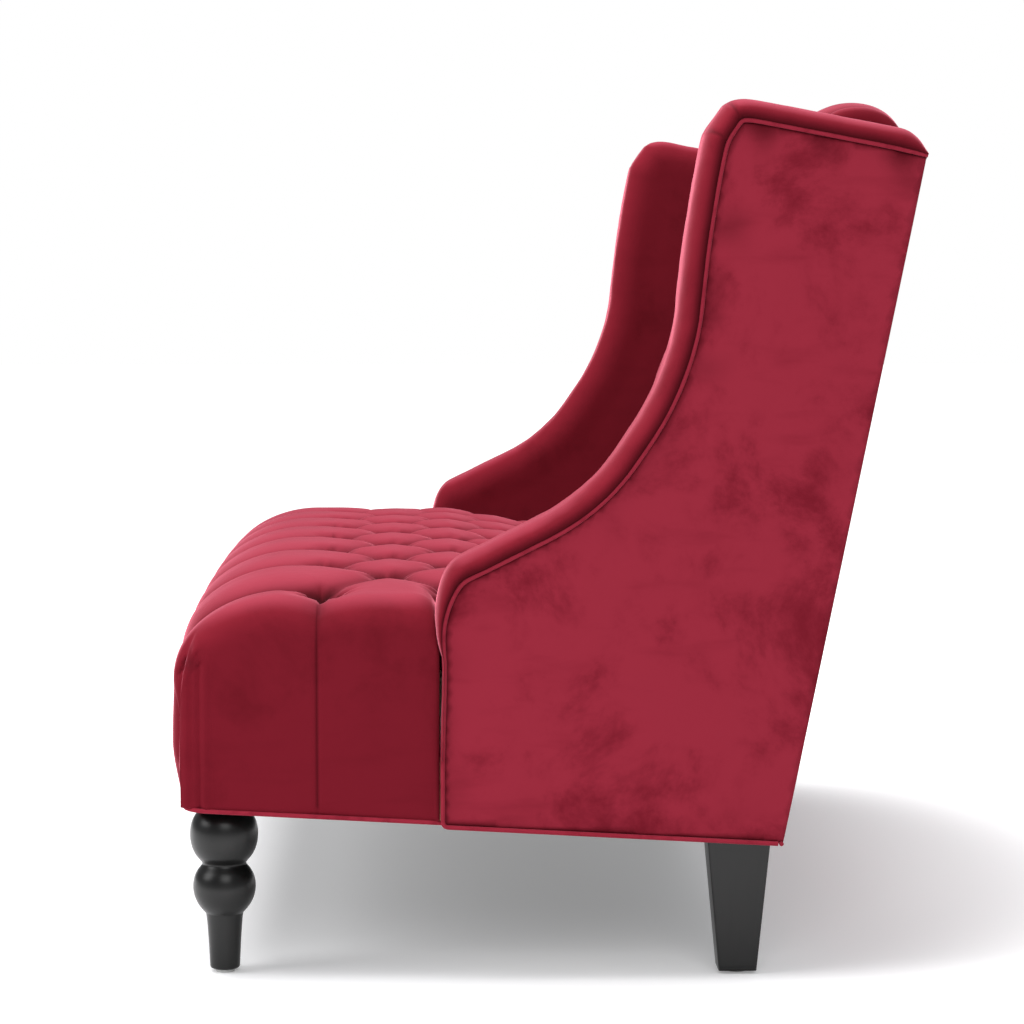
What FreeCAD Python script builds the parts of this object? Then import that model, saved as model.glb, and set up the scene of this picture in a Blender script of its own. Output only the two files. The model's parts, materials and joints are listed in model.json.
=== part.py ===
import FreeCAD, Part
import math
import os
from FreeCAD import Vector

os.makedirs("parts", exist_ok=True)

# High back settee for two, in its own frame: +Z up, the sitter faces -Y, the width runs along X.
# The origin is on the floor, under the middle of the object. All sizes are in millimetres.

# Whole object
half_width = 635.0          # middle plane to the face of an outside panel
seat_front_y = -427.0       # foremost plane of the seat
back_foot_y = 270.2         # rear plane at the bottom of the back
back_foot_z = 160.0         # height at which back_foot_y is measured
back_rake_deg = 11.3        # lean of the outside back from the vertical
base_front_z = 201.0        # underside of the seat frame at the front
base_slope_deg = 3.2        # the underside falls by this angle towards the rear

# Scooped outline of an arm and its wing, seen from the side
arm_tip_y = -119.0          # where the padded border dies out above the seat
arm_tip_z = 371.0
arm_front_y = -122.0        # front of the arm, just under its rounded top
arm_front_z = 456.0
arm_front_bulge = 8.0
arm_top_y = -96.0           # start of the gently rising arm top
arm_top_z = 488.0
arm_nose_bulge = 5.0
scoop_start_y = -18.0
scoop_start_z = 527.0
scoop_middle_y = 88.0
scoop_middle_z = 621.0
scoop_low_bulge = 11.0
scoop_end_y = 147.0
scoop_end_z = 761.0
scoop_high_bulge = 9.0
wing_shoulder_y = 177.0     # lower corner of the cut off top corner
wing_shoulder_z = 967.0
wing_front_bulge = 3.5
wing_corner_y = 202.0       # upper corner of the cut off top corner
wing_corner_z = 1002.0
wing_crown_y = 241.0
wing_crown_z = 1003.0
wing_crown_bulge = 3.0
wing_rear_y = 394.0         # end of the falling top, before it rounds over
wing_rear_z = 974.0
wing_end_z = 946.0          # where the rounded end meets the rear plane
wing_end_bulge = 7.0
panel_front_y = -123.0      # front edge of the outside panel at its bottom
panel_drop = 4.0            # the outside panels hang this much under the frame
border_width = 25.0         # padded border from its crest to the welt
border_round = 30.0         # how far in from either side face the border is rounded

# Thicknesses
cover_board = 6.0           # outside panels and the outside back, board and cover
wing_board = 15.0
inner_pad = 12.0            # padding on the inside face of an arm
arm_width = 90.0            # inside face of an arm to its outside panel
nose_padding = 22.0         # padding over the edge of the wing boards
welt_radius = 2.5
sheet = 3.0                 # deck sheets
strap_thickness = 1.5
dust_cover_thickness = 1.0
rest_gap = 0.3              # clearance between soft pieces and what they lie on
ear_gap = 1.0               # clearance of the seat's rear corners to the arm fronts

# Wing frame
board_web = 75.0            # wood left between a board's edge and its lightening hole
hole_corner = 25.0          # cut off each corner of the lightening holes
spacer_size = 36.0

# Seat frame
rail_height = 70.0
rail_thickness = 22.0
side_rail_thickness = 20.0
skirt = 12.0                # padding outside the side rails in front of the arms
front_skirt = 24.0          # padding in front of the front rail
rear_rail_depth = 54.0
corner_block_size = 80.0
corner_block_height = 60.0

# Seat cushion
seat_side_x = 626.0         # middle plane to the side face of the seat
seat_height = 262.0         # frame underside to the crest of the tufted top
seat_roll_radius = 100.0
seat_corner_radius = 25.0
seat_edge_radius = 45.0
seat_crown = 15.0           # how much lower the top is at its side edges
crown_room = 10.0           # the crown profile passes this much over the middle diamonds
seat_ear_y = -128.5         # rear of the parts that reach in front of the arms
seat_rear_y = 152.0
seat_first_row = 166.0      # first row of tufts behind the seat front
seat_tuck = 9.0             # how far the front face draws in at its foot

# Tufting, the same diamond on the seat and on the back
tuft_pitch = 150.0          # between two tufts of a row
tuft_depth = 18.0           # crest of a diamond to its tufts and pleats
pleat_depth = 8.0           # crest of a straight pleat to its valley
roll_step_deg = 22.5        # largest facet of a pleat's roll
core_share = 0.6            # plain core of a roll, as a share of its radius
arch_facets = 6             # facets across the crown of a diamond or a pleat

# Back cushion
inside_rake_deg = 17.4      # lean of the inside back from the vertical
crest_y = 362.0             # axis of the rolled crest
crest_z = 945.0
crest_radius = 60.0
back_first_row = 150.0      # first row of tufts under the crest
back_bottom_z = 400.0

# Back frame
post_width = 40.0
post_depth = 40.0
back_rail_height = 50.0
middle_rail_z = 650.0
lower_rail_z = 430.0
upright_width = 30.0
upright_x = 170.0

# Webbing
strap_width = 50.0
seat_straps_long = 7
seat_straps_cross = 4
back_straps_upright = 6
back_straps_cross = 3

# Legs
front_leg_x = 570.0
front_leg_y = -373.0
upper_ball_z = 163.0
upper_ball_radius = 39.5
waist_z = 127.0
waist_radius = 25.5
lower_ball_z = 100.0
lower_ball_radius = 36.3
neck_z = 70.0
neck_radius = 21.5
foot_radius = 17.5
leg_top_radius = 26.0
turning_steps = 7           # facets along each turned ball
rear_leg_x = 585.0
rear_leg_y = 221.0
rear_leg_top = 74.0         # front to back at the top
rear_leg_top_width = 60.0
rear_leg_bottom = 44.0
glide_height = 4.0
glide_radius = 11.0
bolt_radius = 4.0
bolt_length = 75.0
bolt_in_leg = 30.0
bolt_clearance = 0.1

# Derived values
base_slope = math.tan(math.radians(base_slope_deg))
back_rake = math.tan(math.radians(back_rake_deg))
inside_rake = math.radians(inside_rake_deg)
arm_inside_x = half_width - arm_width
inner_board_x = arm_inside_x + inner_pad
outer_board_x = half_width - cover_board - wing_board
tuft_half = tuft_pitch / 2.0
front_rail_y = seat_front_y + front_skirt
far = 3000.0                # larger than the object, for cutting blocks
proud = 1.0                 # how far a block passes over the surface that trims it
parallel = 0.99             # least cosine at which an edge counts as parallel to an axis


def base_z(y):
    """Height of the frame's underside at y."""
    return base_front_z - (y - seat_front_y) * base_slope


def rear_y(z, inset=0.0):
    """The raked rear plane at height z, moved forward by inset measured square to the plane."""
    return back_foot_y + (z - back_foot_z) * back_rake - inset / math.cos(math.radians(back_rake_deg))


def box(x0, x1, y0, y1, z0, z1):
    return Part.makeBox(x1 - x0, y1 - y0, z1 - z0, Vector(x0, y0, z0))


def prism(points, x0, x1):
    """A plate with the outline points, given as (y, z), between two places along X."""
    corners = [Vector(x0, y, z) for y, z in points]
    face = Part.Face(Part.makePolygon(corners + corners[:1]))
    return face.extrude(Vector(x1 - x0, 0, 0))


def on_base(y0, y1, lift0, lift1, x0, x1):
    """A rail or sheet parallel to the sloping underside, lift0 to lift1 above it."""
    points = [(y0, base_z(y0) + lift0), (y1, base_z(y1) + lift0),
              (y1, base_z(y1) + lift1), (y0, base_z(y0) + lift1)]
    return prism(points, x0, x1)


def on_back(z0, z1, depth0, depth1, x0, x1):
    """A post, rail or sheet parallel to the raked rear plane, depth0 to depth1 in front of it."""
    points = [(rear_y(z0, depth0), z0), (rear_y(z0, depth1), z0),
              (rear_y(z1, depth1), z1), (rear_y(z1, depth0), z1)]
    return prism(points, x0, x1)


def above_base(lift):
    """Everything higher than lift above the underside of the frame."""
    points = [(-far, base_z(-far) + lift), (far, base_z(far) + lift), (far, far), (-far, far)]
    return prism(points, -far, far)


def mirrored(shape):
    return shape.mirror(Vector(0, 0, 0), Vector(1, 0, 0))


def quarter_slant(radius):
    """How far the middle of a quarter round stands in from the two faces that it joins."""
    return radius * (1.0 - math.sqrt(0.5))


nodes = {}


def keep(name, *shapes):
    """Files one node: a single solid, or a group of separate ones."""
    solids = [solid for shape in shapes for solid in shape.Solids]
    whole = solids[0] if len(solids) == 1 else Part.makeCompound(solids)
    whole.exportStep("parts/" + name + ".step")
    nodes[name] = whole


def keep_pair(name, shape):
    keep(name + "_right", shape)
    keep(name + "_left", mirrored(shape))


# Outline of an arm and wing
def bulged(start, end, bulge):
    """The middle point of an arc from start to end that stands bulge out to the left of its chord."""
    along = end - start
    side = Vector(0, -along.z, along.y).normalize()
    return (start + end) * 0.5 + side * bulge


arm_tip = Vector(0, arm_tip_y, arm_tip_z)
arm_front = Vector(0, arm_front_y, arm_front_z)
arm_top = Vector(0, arm_top_y, arm_top_z)
scoop_start = Vector(0, scoop_start_y, scoop_start_z)
scoop_middle = Vector(0, scoop_middle_y, scoop_middle_z)
scoop_end = Vector(0, scoop_end_y, scoop_end_z)
wing_shoulder = Vector(0, wing_shoulder_y, wing_shoulder_z)
wing_corner = Vector(0, wing_corner_y, wing_corner_z)
wing_crown = Vector(0, wing_crown_y, wing_crown_z)
wing_rear = Vector(0, wing_rear_y, wing_rear_z)
wing_end = Vector(0, rear_y(wing_end_z), wing_end_z)

# The border's stretches from the tip to the rear: the end point and the bulge of the arc to it, 0 for a
# straight stretch. The share is how much of the border's width the end point has.
border_stretches = [
    (arm_front, arm_front_bulge, 0.75), (arm_top, arm_nose_bulge, 1.0), (scoop_start, 0.0, 1.0),
    (scoop_middle, -scoop_low_bulge, 1.0), (scoop_end, -scoop_high_bulge, 1.0),
    (wing_shoulder, wing_front_bulge, 1.0), (wing_corner, 0.0, 1.0), (wing_crown, wing_crown_bulge, 1.0),
    (wing_rear, 0.0, 1.0), (wing_end, wing_end_bulge, 0.2)]
tip_share = 0.1


def border_route():
    """Every point of the border's crest in order, with its share of the width and whether it ends an arc."""
    route = [(arm_tip, tip_share, False)]
    for end, bulge, share in border_stretches:
        start, start_share, _ = route[-1]
        if bulge:
            route.append((bulged(start, end, bulge), (start_share + share) / 2.0, None))
        route.append((end, share, bool(bulge)))
    return route


def side_wire(x, border, grow, rear_inset, lift=None):
    """Closed outline of an arm and wing at x.

    border moves the scooped edge in by its share of the border's width, and grow moves the scooped,
    lower front and bottom edges in alike. lift, where given, is the height of the bottom edge above
    the frame's underside.
    """
    route = border_route()
    moved = []
    for index, (point, share, _) in enumerate(route):
        before = route[index - 1][0] if index else point * 2.0 - route[1][0]
        after = route[index + 1][0] if index + 1 < len(route) else point * 2.0 - before
        along = ((point - before).normalize() + (after - point).normalize()).normalize()
        inward = Vector(0, along.z, -along.y)
        place = point + inward * (border * share + grow)
        moved.append(Vector(x, place.y, place.z))
    last = moved[-1]
    moved[-1] = Vector(x, rear_y(last.z, rear_inset), last.z)
    edges = []
    index = 1
    while index < len(moved):
        if route[index][2] is None:
            edges.append(Part.Arc(moved[index - 1], moved[index], moved[index + 1]).toShape())
            index += 2
        else:
            edges.append(Part.makeLine(moved[index - 1], moved[index]))
            index += 1
    bottom = grow - panel_drop if lift is None else lift
    foot_z = base_z(back_foot_y) + bottom
    rear_foot = Vector(x, rear_y(foot_z, rear_inset), foot_z)
    front_y = panel_front_y + grow
    front_foot = Vector(x, front_y, base_z(front_y) + bottom)
    edges.append(Part.makeLine(moved[-1], rear_foot))
    edges.append(Part.makeLine(rear_foot, front_foot))
    edges.append(Part.makeLine(front_foot, moved[0]))
    return Part.Wire(edges)


def side_plate(x0, x1, border, grow, rear_inset, lift=None):
    return Part.Face(side_wire(x0, border, grow, rear_inset, lift)).extrude(Vector(x1 - x0, 0, 0))


# Padded arms and wings
def border_sections():
    """Places across the border's width, each with how far its edge is drawn in, from 1 at a side to 0."""
    rounding = []
    for step in (0.0, 0.3, 1.0):
        rounding.append((border_round * step, 1.0 - math.sqrt(1.0 - (1.0 - step) ** 2)))
    outer = [(half_width - inset, share) for inset, share in rounding]
    inner = [(arm_inside_x + inset, share) for inset, share in reversed(rounding)]
    return outer + inner


def make_wing_pad():
    """Padding of the inside face and of the border, open towards the outside panel and the back."""
    sections = [side_wire(x, border_width * share, 0.0, cover_board) for x, share in border_sections()]
    pad = Part.makeLoft(sections, True, True)
    pad = pad.common(above_base(rail_height))
    frame_room = side_plate(inner_board_x, half_width - cover_board, 0.0, nose_padding, cover_board, 0.0)
    panel_room = side_plate(half_width - cover_board, far, border_width, -welt_radius, cover_board)
    post_room = on_back(0.0, far, cover_board, cover_board + post_depth,
                        inner_board_x - post_width, inner_board_x)
    return pad.cut(frame_room).cut(panel_room).cut(post_room)


keep_pair("wing_pad", make_wing_pad())
outside_panel = side_plate(half_width - cover_board, half_width, border_width, welt_radius, cover_board)
keep_pair("outside_panel", outside_panel)


def make_side_welt():
    """Eight sided piping round an outside panel: up the front, over the top and along the bottom."""
    flat = welt_radius * math.tan(math.radians(22.5))
    outer = []
    inner = []
    for out, spread in ((-welt_radius, flat), (-flat, welt_radius), (flat, welt_radius), (welt_radius, flat)):
        x = half_width + out
        outer.append(side_wire(x, border_width, -spread, cover_board))
        inner.append(side_wire(x, border_width, spread, cover_board))
    return Part.makeLoft(outer, True, True).cut(Part.makeLoft(inner, True, True))


keep_pair("side_welt", make_side_welt())


def eased_plate(points, corner, x0, x1):
    """A plate like prism, with the corners of its outline cut off."""
    plate = prism(points, x0, x1)
    edges = [edge for edge in plate.Edges if abs(edge.tangentAt(edge.FirstParameter).x) > parallel]
    return plate.makeChamfer(corner, edges)


# Lightening holes of the wing boards, set in from the boards' edges
arm_hole_y = panel_front_y + board_web
arm_hole_rear_y = scoop_middle_y + board_web
arm_hole = [
    (arm_hole_y, base_z(arm_hole_y) + rail_height + board_web / 2.0),
    (arm_hole_rear_y, base_z(arm_hole_rear_y) + rail_height + board_web / 2.0),
    (arm_hole_rear_y, arm_top_z),
    (scoop_start_y, scoop_start_z - board_web - hole_corner),
    (arm_hole_y, arm_front_z - board_web)]
wing_hole = [
    (scoop_end_y + board_web, scoop_middle_z),
    (rear_y(scoop_middle_z, board_web), scoop_middle_z),
    (rear_y(wing_shoulder_z - board_web, board_web), wing_shoulder_z - board_web),
    (wing_shoulder_y + board_web, wing_shoulder_z - board_web)]


def make_wing_board(x0, lift):
    board = side_plate(x0, x0 + wing_board, 0.0, nose_padding, cover_board, lift)
    for hole in (arm_hole, wing_hole):
        board = board.cut(eased_plate(hole, hole_corner, x0 - wing_board, x0 + 2.0 * wing_board))
    return board


keep_pair("wing_board_outer", make_wing_board(outer_board_x, 0.0))
keep_pair("wing_board_inner", make_wing_board(inner_board_x, rail_height))


# Points of the outline with a block behind them, and the way there in degrees, 0 towards the rear
spacer_places = [
    (arm_top, -70.0), (scoop_start, -65.0), (scoop_middle, -35.0),
    (scoop_end, -5.0), (wing_shoulder, -35.0), (wing_rear, -115.0)]


def make_spacers():
    """Blocks that hold the two boards of a wing apart, all along the scooped edge and the rear."""
    x0 = inner_board_x + wing_board
    x1 = outer_board_x
    reach = nose_padding + spacer_size
    middles = []
    for point, turn in spacer_places:
        out = Vector(0, math.cos(math.radians(turn)), math.sin(math.radians(turn)))
        middles.append(point + out * reach)
    for z in (middle_rail_z, lower_rail_z):
        middles.append(Vector(0, rear_y(z, cover_board + spacer_size), z))
    half = spacer_size / 2.0
    room = side_plate(x0, x1, 0.0, nose_padding, cover_board, rail_height)
    return [box(x0, x1, m.y - half, m.y + half, m.z - half, m.z + half).common(room) for m in middles]


spacers = make_spacers()
keep("wing_spacers_right", *spacers)
keep("wing_spacers_left", *[mirrored(block) for block in spacers])


# Seat frame
rear_rail_front = cover_board + rear_rail_depth
side_rail_x = outer_board_x - side_rail_thickness

front_rail_rear = front_rail_y + rail_thickness
keep("front_rail", on_base(front_rail_y, front_rail_rear, 0.0, rail_height, -outer_board_x, outer_board_x))

base_band = on_base(-far, far, 0.0, rail_height, -side_rail_x, side_rail_x)
rear_rail = on_back(-far, far, cover_board, rear_rail_front, -side_rail_x, side_rail_x).common(base_band)

side_rail = on_base(front_rail_rear, back_foot_y, 0.0, rail_height, side_rail_x, outer_board_x)
side_rail = side_rail.common(on_back(-far, far, cover_board, far, -far, far))
keep_pair("side_rail", side_rail)

front_of_rear_rail = on_back(-far, far, rear_rail_front, far, -far, far)
half_rail = rail_thickness / 2.0
centre_rail = on_base(front_rail_rear, back_foot_y, 0.0, rail_height, -half_rail, half_rail)
keep("seat_centre_rail", centre_rail.common(front_of_rear_rail))


# Legs
above_dust_cover = above_base(-dust_cover_thickness)


def bolt(x, y, clearance=0.0):
    foot = base_z(y) - dust_cover_thickness - bolt_in_leg
    return Part.makeCylinder(bolt_radius + clearance, bolt_length + clearance, Vector(x, y, foot - clearance))


def turned(r0, z0, r1, z1, r2, z2):
    """Points of a turned ball's outline: an arc through three places, in short facets."""
    arc = Part.Arc(Vector(r0, 0, z0), Vector(r1, 0, z1), Vector(r2, 0, z2)).toShape()
    return arc.discretize(turning_steps + 1)


def make_front_leg():
    """Turned leg: two balls, a neck and a tapered foot, revolved about its axis."""
    top_z = base_z(front_leg_y - upper_ball_radius)
    outline = [Vector(0, 0, glide_height), Vector(foot_radius, 0, glide_height)]
    outline += turned(neck_radius, neck_z, lower_ball_radius, lower_ball_z, waist_radius, waist_z)
    outline += turned(waist_radius, waist_z, upper_ball_radius, upper_ball_z, leg_top_radius, top_z)[1:]
    outline += [Vector(0, 0, top_z), outline[0]]
    leg = Part.Face(Part.makePolygon(outline)).revolve(Vector(0, 0, 0), Vector(0, 0, 1), 360)
    leg.translate(Vector(front_leg_x, front_leg_y, 0))
    return leg.cut(above_dust_cover).cut(bolt(front_leg_x, front_leg_y, bolt_clearance))


front_leg = make_front_leg()
keep("front_legs", front_leg, mirrored(front_leg))


def make_rear_leg():
    """Square leg that tapers on all four sides."""
    top_z = base_z(rear_leg_y - rear_leg_top / 2.0)
    sections = []
    ends = ((glide_height, rear_leg_bottom, rear_leg_bottom), (top_z, rear_leg_top, rear_leg_top_width))
    for z, depth, width in ends:
        dx, dy = width / 2.0, depth / 2.0
        corners = [Vector(rear_leg_x + sx * dx, rear_leg_y + sy * dy, z)
                   for sx, sy in ((-1, -1), (1, -1), (1, 1), (-1, 1))]
        sections.append(Part.makePolygon(corners + corners[:1]))
    leg = Part.makeLoft(sections, True, True)
    return leg.cut(above_dust_cover).cut(bolt(rear_leg_x, rear_leg_y, bolt_clearance))


rear_leg = make_rear_leg()
keep("rear_legs", rear_leg, mirrored(rear_leg))

leg_places = [(front_leg_x, front_leg_y), (-front_leg_x, front_leg_y),
              (rear_leg_x, rear_leg_y), (-rear_leg_x, rear_leg_y)]
keep("leg_glides", *[Part.makeCylinder(glide_radius, glide_height, Vector(x, y, 0)) for x, y in leg_places])
keep("leg_bolts", *[bolt(x, y) for x, y in leg_places])
bolt_holes = [bolt(x, y, bolt_clearance) for x, y in leg_places]


def drilled(shape):
    for hole in bolt_holes:
        shape = shape.cut(hole)
    return shape


# The rear legs' bolts run up through the ends of the rear rail
keep("rear_rail", drilled(rear_rail))


def make_corner_block(front):
    """A block glued into a right hand corner of the frame; the front one takes a leg's bolt."""
    x0 = side_rail_x - corner_block_size
    if front:
        y0 = front_rail_rear
        block = on_base(y0, y0 + corner_block_size, 0.0, corner_block_height, x0, side_rail_x)
        tip = [(x0, y0 + corner_block_size), (x0, y0 + corner_block_size / 2.0),
               (x0 + corner_block_size / 2.0, y0 + corner_block_size)]
    else:
        y1 = rear_y(base_z(rear_leg_y), rear_rail_front)
        y0 = y1 - corner_block_size
        block = on_base(y0, y1 + corner_block_size, 0.0, corner_block_height, x0, side_rail_x)
        block = block.common(front_of_rear_rail)
        tip = [(x0, y0), (x0, y0 + corner_block_size / 2.0), (x0 + corner_block_size / 2.0, y0)]
    corners = [Vector(x, y, 0) for x, y in tip]
    return block.cut(Part.Face(Part.makePolygon(corners + corners[:1])).extrude(Vector(0, 0, far)))


corner_blocks = [make_corner_block(True), make_corner_block(False)]
corner_blocks += [mirrored(block) for block in corner_blocks]
keep("corner_blocks", *[drilled(block) for block in corner_blocks])

dust_cover = on_base(front_rail_y, back_foot_y, -dust_cover_thickness, 0.0, -outer_board_x, outer_board_x)
dust_cover = dust_cover.common(on_back(-far, far, cover_board, far, -far, far))
keep("dust_cover", drilled(dust_cover))


# Seat deck, webbing and foam core
def t_plate(side_x, front_y, ear_y, neck_x, rear_y0, lift0, lift1, corner=0.0):
    """A T shaped plate: wide in front of the arms, narrow between them."""
    wide = on_base(front_y, ear_y, lift0, lift1, -side_x, side_x)
    if corner:
        uprights = [edge for edge in wide.Edges if abs(edge.tangentAt(edge.FirstParameter).z) > parallel]
        wide = wide.makeFillet(corner, [edge for edge in uprights if edge.CenterOfMass.y < front_y + corner])
    neck = on_base(ear_y, rear_y0, lift0, lift1, -neck_x, neck_x)
    return wide.fuse(neck).removeSplitter()


neck_x = arm_inside_x - rest_gap
strap_lift = rail_height + strap_thickness
strap_top = rail_height + 2.0 * strap_thickness
foam_lift = strap_top + sheet
pad_lift = seat_height - seat_roll_radius + proud
deck_rear_y = rear_y(base_z(back_foot_y) + rail_height, cover_board + post_depth) - sheet


def spread(count, low, high, width):
    """Places for count straps of one width, evenly spread from low to high."""
    step = (high - low - width) / (count - 1.0)
    return [low + index * step for index in range(count)]


long_straps = []
for x in spread(seat_straps_long, -neck_x + strap_width, neck_x - strap_width, strap_width):
    long_straps.append(on_base(front_rail_y, deck_rear_y, rail_height, strap_lift, x, x + strap_width))
keep("seat_webbing_long", *long_straps)

cross_straps = []
ear_front = front_rail_rear + strap_width
ear_rear = seat_ear_y - ear_gap - strap_width
for y in spread(seat_straps_cross, ear_front, deck_rear_y - strap_width, strap_width):
    reach = outer_board_x if y + strap_width < ear_rear else neck_x
    cross_straps.append(on_base(y, y + strap_width, strap_lift, strap_top, -reach, reach))
keep("seat_webbing_cross", *cross_straps)

deck_x = outer_board_x - rest_gap
foam_top = pad_lift - rest_gap
keep("seat_deck", t_plate(deck_x, front_rail_y, ear_rear, neck_x, deck_rear_y, strap_top, foam_lift))
keep("seat_foam_core", t_plate(deck_x, front_rail_y, ear_rear, neck_x, seat_rear_y, foam_lift, foam_top))


# Tufting
def arch(half, drop):
    """Points (x, z) of a crown 2 half wide and drop high, in short facets, its top at z = 0."""
    radius = (half * half + drop * drop) / (2.0 * drop)
    reach = math.asin(half / radius)
    points = []
    for step in range(arch_facets + 1):
        angle = reach * (2.0 * step / arch_facets - 1.0)
        points.append((radius * math.sin(angle), radius * math.cos(angle) - radius))
    return points


def pleat_section(xc, drop, depth):
    """A section across one pleat: the arch of a diamond drawn out to the pleat's width, on a flat foot."""
    crown = [Vector(xc + x * math.sqrt(2.0), 0, z) for x, z in arch(tuft_half / math.sqrt(2.0), drop)]
    foot = [Vector(xc + tuft_half, 0, -depth), Vector(xc - tuft_half, 0, -depth)]
    return Part.makePolygon(crown + foot + crown[:1])


def placed(section, turn, y, z):
    """The section turned forward by turn degrees, with its crest at (y, z)."""
    section.rotate(Vector(0, 0, 0), Vector(1, 0, 0), turn)
    section.translate(Vector(0, y, z))
    return section


def pleat(xc, first_row, roll_radius, roll_deg, skin, face):
    """One straight pleat: from its tufts to the roll, round the roll in short facets and down the face."""
    sections = [placed(pleat_section(xc, tuft_depth, roll_radius), 0.0, first_row, 0.0),
                placed(pleat_section(xc, pleat_depth, roll_radius), 0.0, roll_radius, 0.0)]
    steps = math.ceil(roll_deg / roll_step_deg)
    for step in range(1, steps + 1):
        turn = roll_deg * step / steps
        angle = math.radians(turn)
        y = roll_radius - roll_radius * math.sin(angle)
        z = roll_radius * math.cos(angle) - roll_radius
        sections.append(placed(pleat_section(xc, pleat_depth, skin), turn, y, z))
    for y, z in face:
        sections.append(placed(pleat_section(xc, pleat_depth, skin), 90.0, y, z))
    return Part.makeLoft(sections, True, True)


def loaf(turn, floor):
    """A long block with an arched top, which runs across the diamonds at turn degrees."""
    half = tuft_half / math.sqrt(2.0)
    corners = [Vector(x, -tuft_pitch, z) for x, z in arch(half, tuft_depth)]
    corners += [Vector(half, -tuft_pitch, floor), Vector(-half, -tuft_pitch, floor)]
    block = Part.Face(Part.makePolygon(corners + corners[:1])).extrude(Vector(0, 2.0 * tuft_pitch, 0))
    block.rotate(Vector(0, 0, 0), Vector(0, 0, 1), turn)
    return block


def at(shape, x, y):
    moved = shape.copy()
    moved.translate(Vector(x, y, 0))
    return moved


def tufted_pad(reach, first_row, last_row, roll_radius, roll_deg, skin, face=()):
    """A tufted pad in its own frame: the crest is the plane z = 0 and the pad runs from y = 0 to the rear.

    Diamonds lie behind the first row of tufts, each a vault where two arched blocks cross. In front of it
    straight pleats run over a roll, which turns by roll_deg, and down the face, given as the (y, z) of its
    front under the roll. The pleats are skin thick over a plain core.
    """
    floor = -roll_radius
    columns = int(reach / tuft_pitch + 0.5)
    diamond = loaf(45.0, floor).common(loaf(-45.0, floor))
    half_diamond = diamond.common(box(-tuft_pitch, tuft_pitch, 0.0, tuft_pitch, floor, proud))
    core_reach = reach + tuft_pitch
    core = Part.makePlane(2.0 * core_reach, core_share * roll_radius, Vector(-core_reach, roll_radius, floor),
                          Vector(0, -1, 0), Vector(1, 0, 0))
    pieces = [core.revolve(Vector(0, roll_radius, floor), Vector(1, 0, 0), roll_deg)]
    for j in range(-columns, columns + 1):
        xc = j * tuft_pitch
        pieces.append(pleat(xc, first_row, roll_radius, roll_deg, skin, face))
        pieces.append(at(half_diamond, xc, first_row))
    row_y = first_row + tuft_half
    odd = True
    while row_y - tuft_half < last_row:
        shift = tuft_half if odd else 0.0
        for j in range(-columns - 1, columns + 2):
            xc = j * tuft_pitch + shift
            if abs(xc) - tuft_half < reach:
                pieces.append(at(diamond, xc, row_y))
        row_y += tuft_half
        odd = not odd
    return pieces[0].multiFuse(pieces[1:])


# The pad is tilted with the base, so its upright face is set against the tilt by lean
face_height = seat_height - seat_roll_radius
lean = face_height * math.sin(math.radians(base_slope_deg))


def tilted(shape, y=0.0):
    """Sets a shape, made above z = 0 and behind y = 0, on the sloping base at the seat front."""
    shape.translate(Vector(0, seat_front_y + y, base_front_z))
    shape.rotate(Vector(0, seat_front_y + y, base_front_z), Vector(1, 0, 0), -base_slope_deg)
    return shape


def make_seat_cushion():
    length = seat_rear_y - seat_front_y
    floor = -seat_roll_radius
    face = [(lean / 2.0, floor - face_height / 2.0), (lean + seat_tuck, -seat_height)]
    pad = tufted_pad(seat_side_x, seat_first_row, length, seat_roll_radius, 90.0, 2.0 * front_skirt, face)
    side = box(outer_board_x - proud, seat_side_x + proud, front_skirt + lean, length,
               -seat_height, floor + proud)
    pad = pad.fuse(side).fuse(mirrored(side))
    pad.translate(Vector(0, 0, seat_height))
    pad = tilted(pad, -lean)
    plan = t_plate(seat_side_x, seat_front_y - proud, seat_ear_y - ear_gap, neck_x, seat_rear_y, 0.0,
                   seat_height + seat_roll_radius, seat_corner_radius)
    room = on_base(front_rail_y, far, -seat_height, pad_lift, -outer_board_x, outer_board_x)
    return pad.common(plan).common(seat_side_profile()).cut(room)


def seat_side_profile():
    """Everything under the crowned top and the rounded side edges of the seat."""
    z_shoulder = seat_height - seat_crown
    z_side = z_shoulder - seat_edge_radius
    x_shoulder = seat_side_x - seat_edge_radius
    slant = quarter_slant(seat_edge_radius)
    right_foot = Vector(seat_side_x, 0, -seat_height)
    right_side = Vector(seat_side_x, 0, z_side)
    right_middle = Vector(seat_side_x - slant, 0, z_shoulder - slant)
    right_top = Vector(x_shoulder, 0, z_shoulder)
    left_top = Vector(-x_shoulder, 0, z_shoulder)
    left_middle = Vector(slant - seat_side_x, 0, z_shoulder - slant)
    left_side = Vector(-seat_side_x, 0, z_side)
    left_foot = Vector(-seat_side_x, 0, -seat_height)
    edges = [Part.makeLine(left_foot, left_side),
             Part.Arc(left_side, left_middle, left_top).toShape(),
             Part.Arc(left_top, Vector(0, 0, seat_height + crown_room), right_top).toShape(),
             Part.Arc(right_top, right_middle, right_side).toShape(),
             Part.makeLine(right_side, right_foot), Part.makeLine(right_foot, left_foot)]
    body = Part.Face(Part.Wire(edges)).extrude(Vector(0, far, 0))
    body.translate(Vector(0, -half_width, 0))
    return tilted(body)


keep("seat_cushion", make_seat_cushion())


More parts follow.
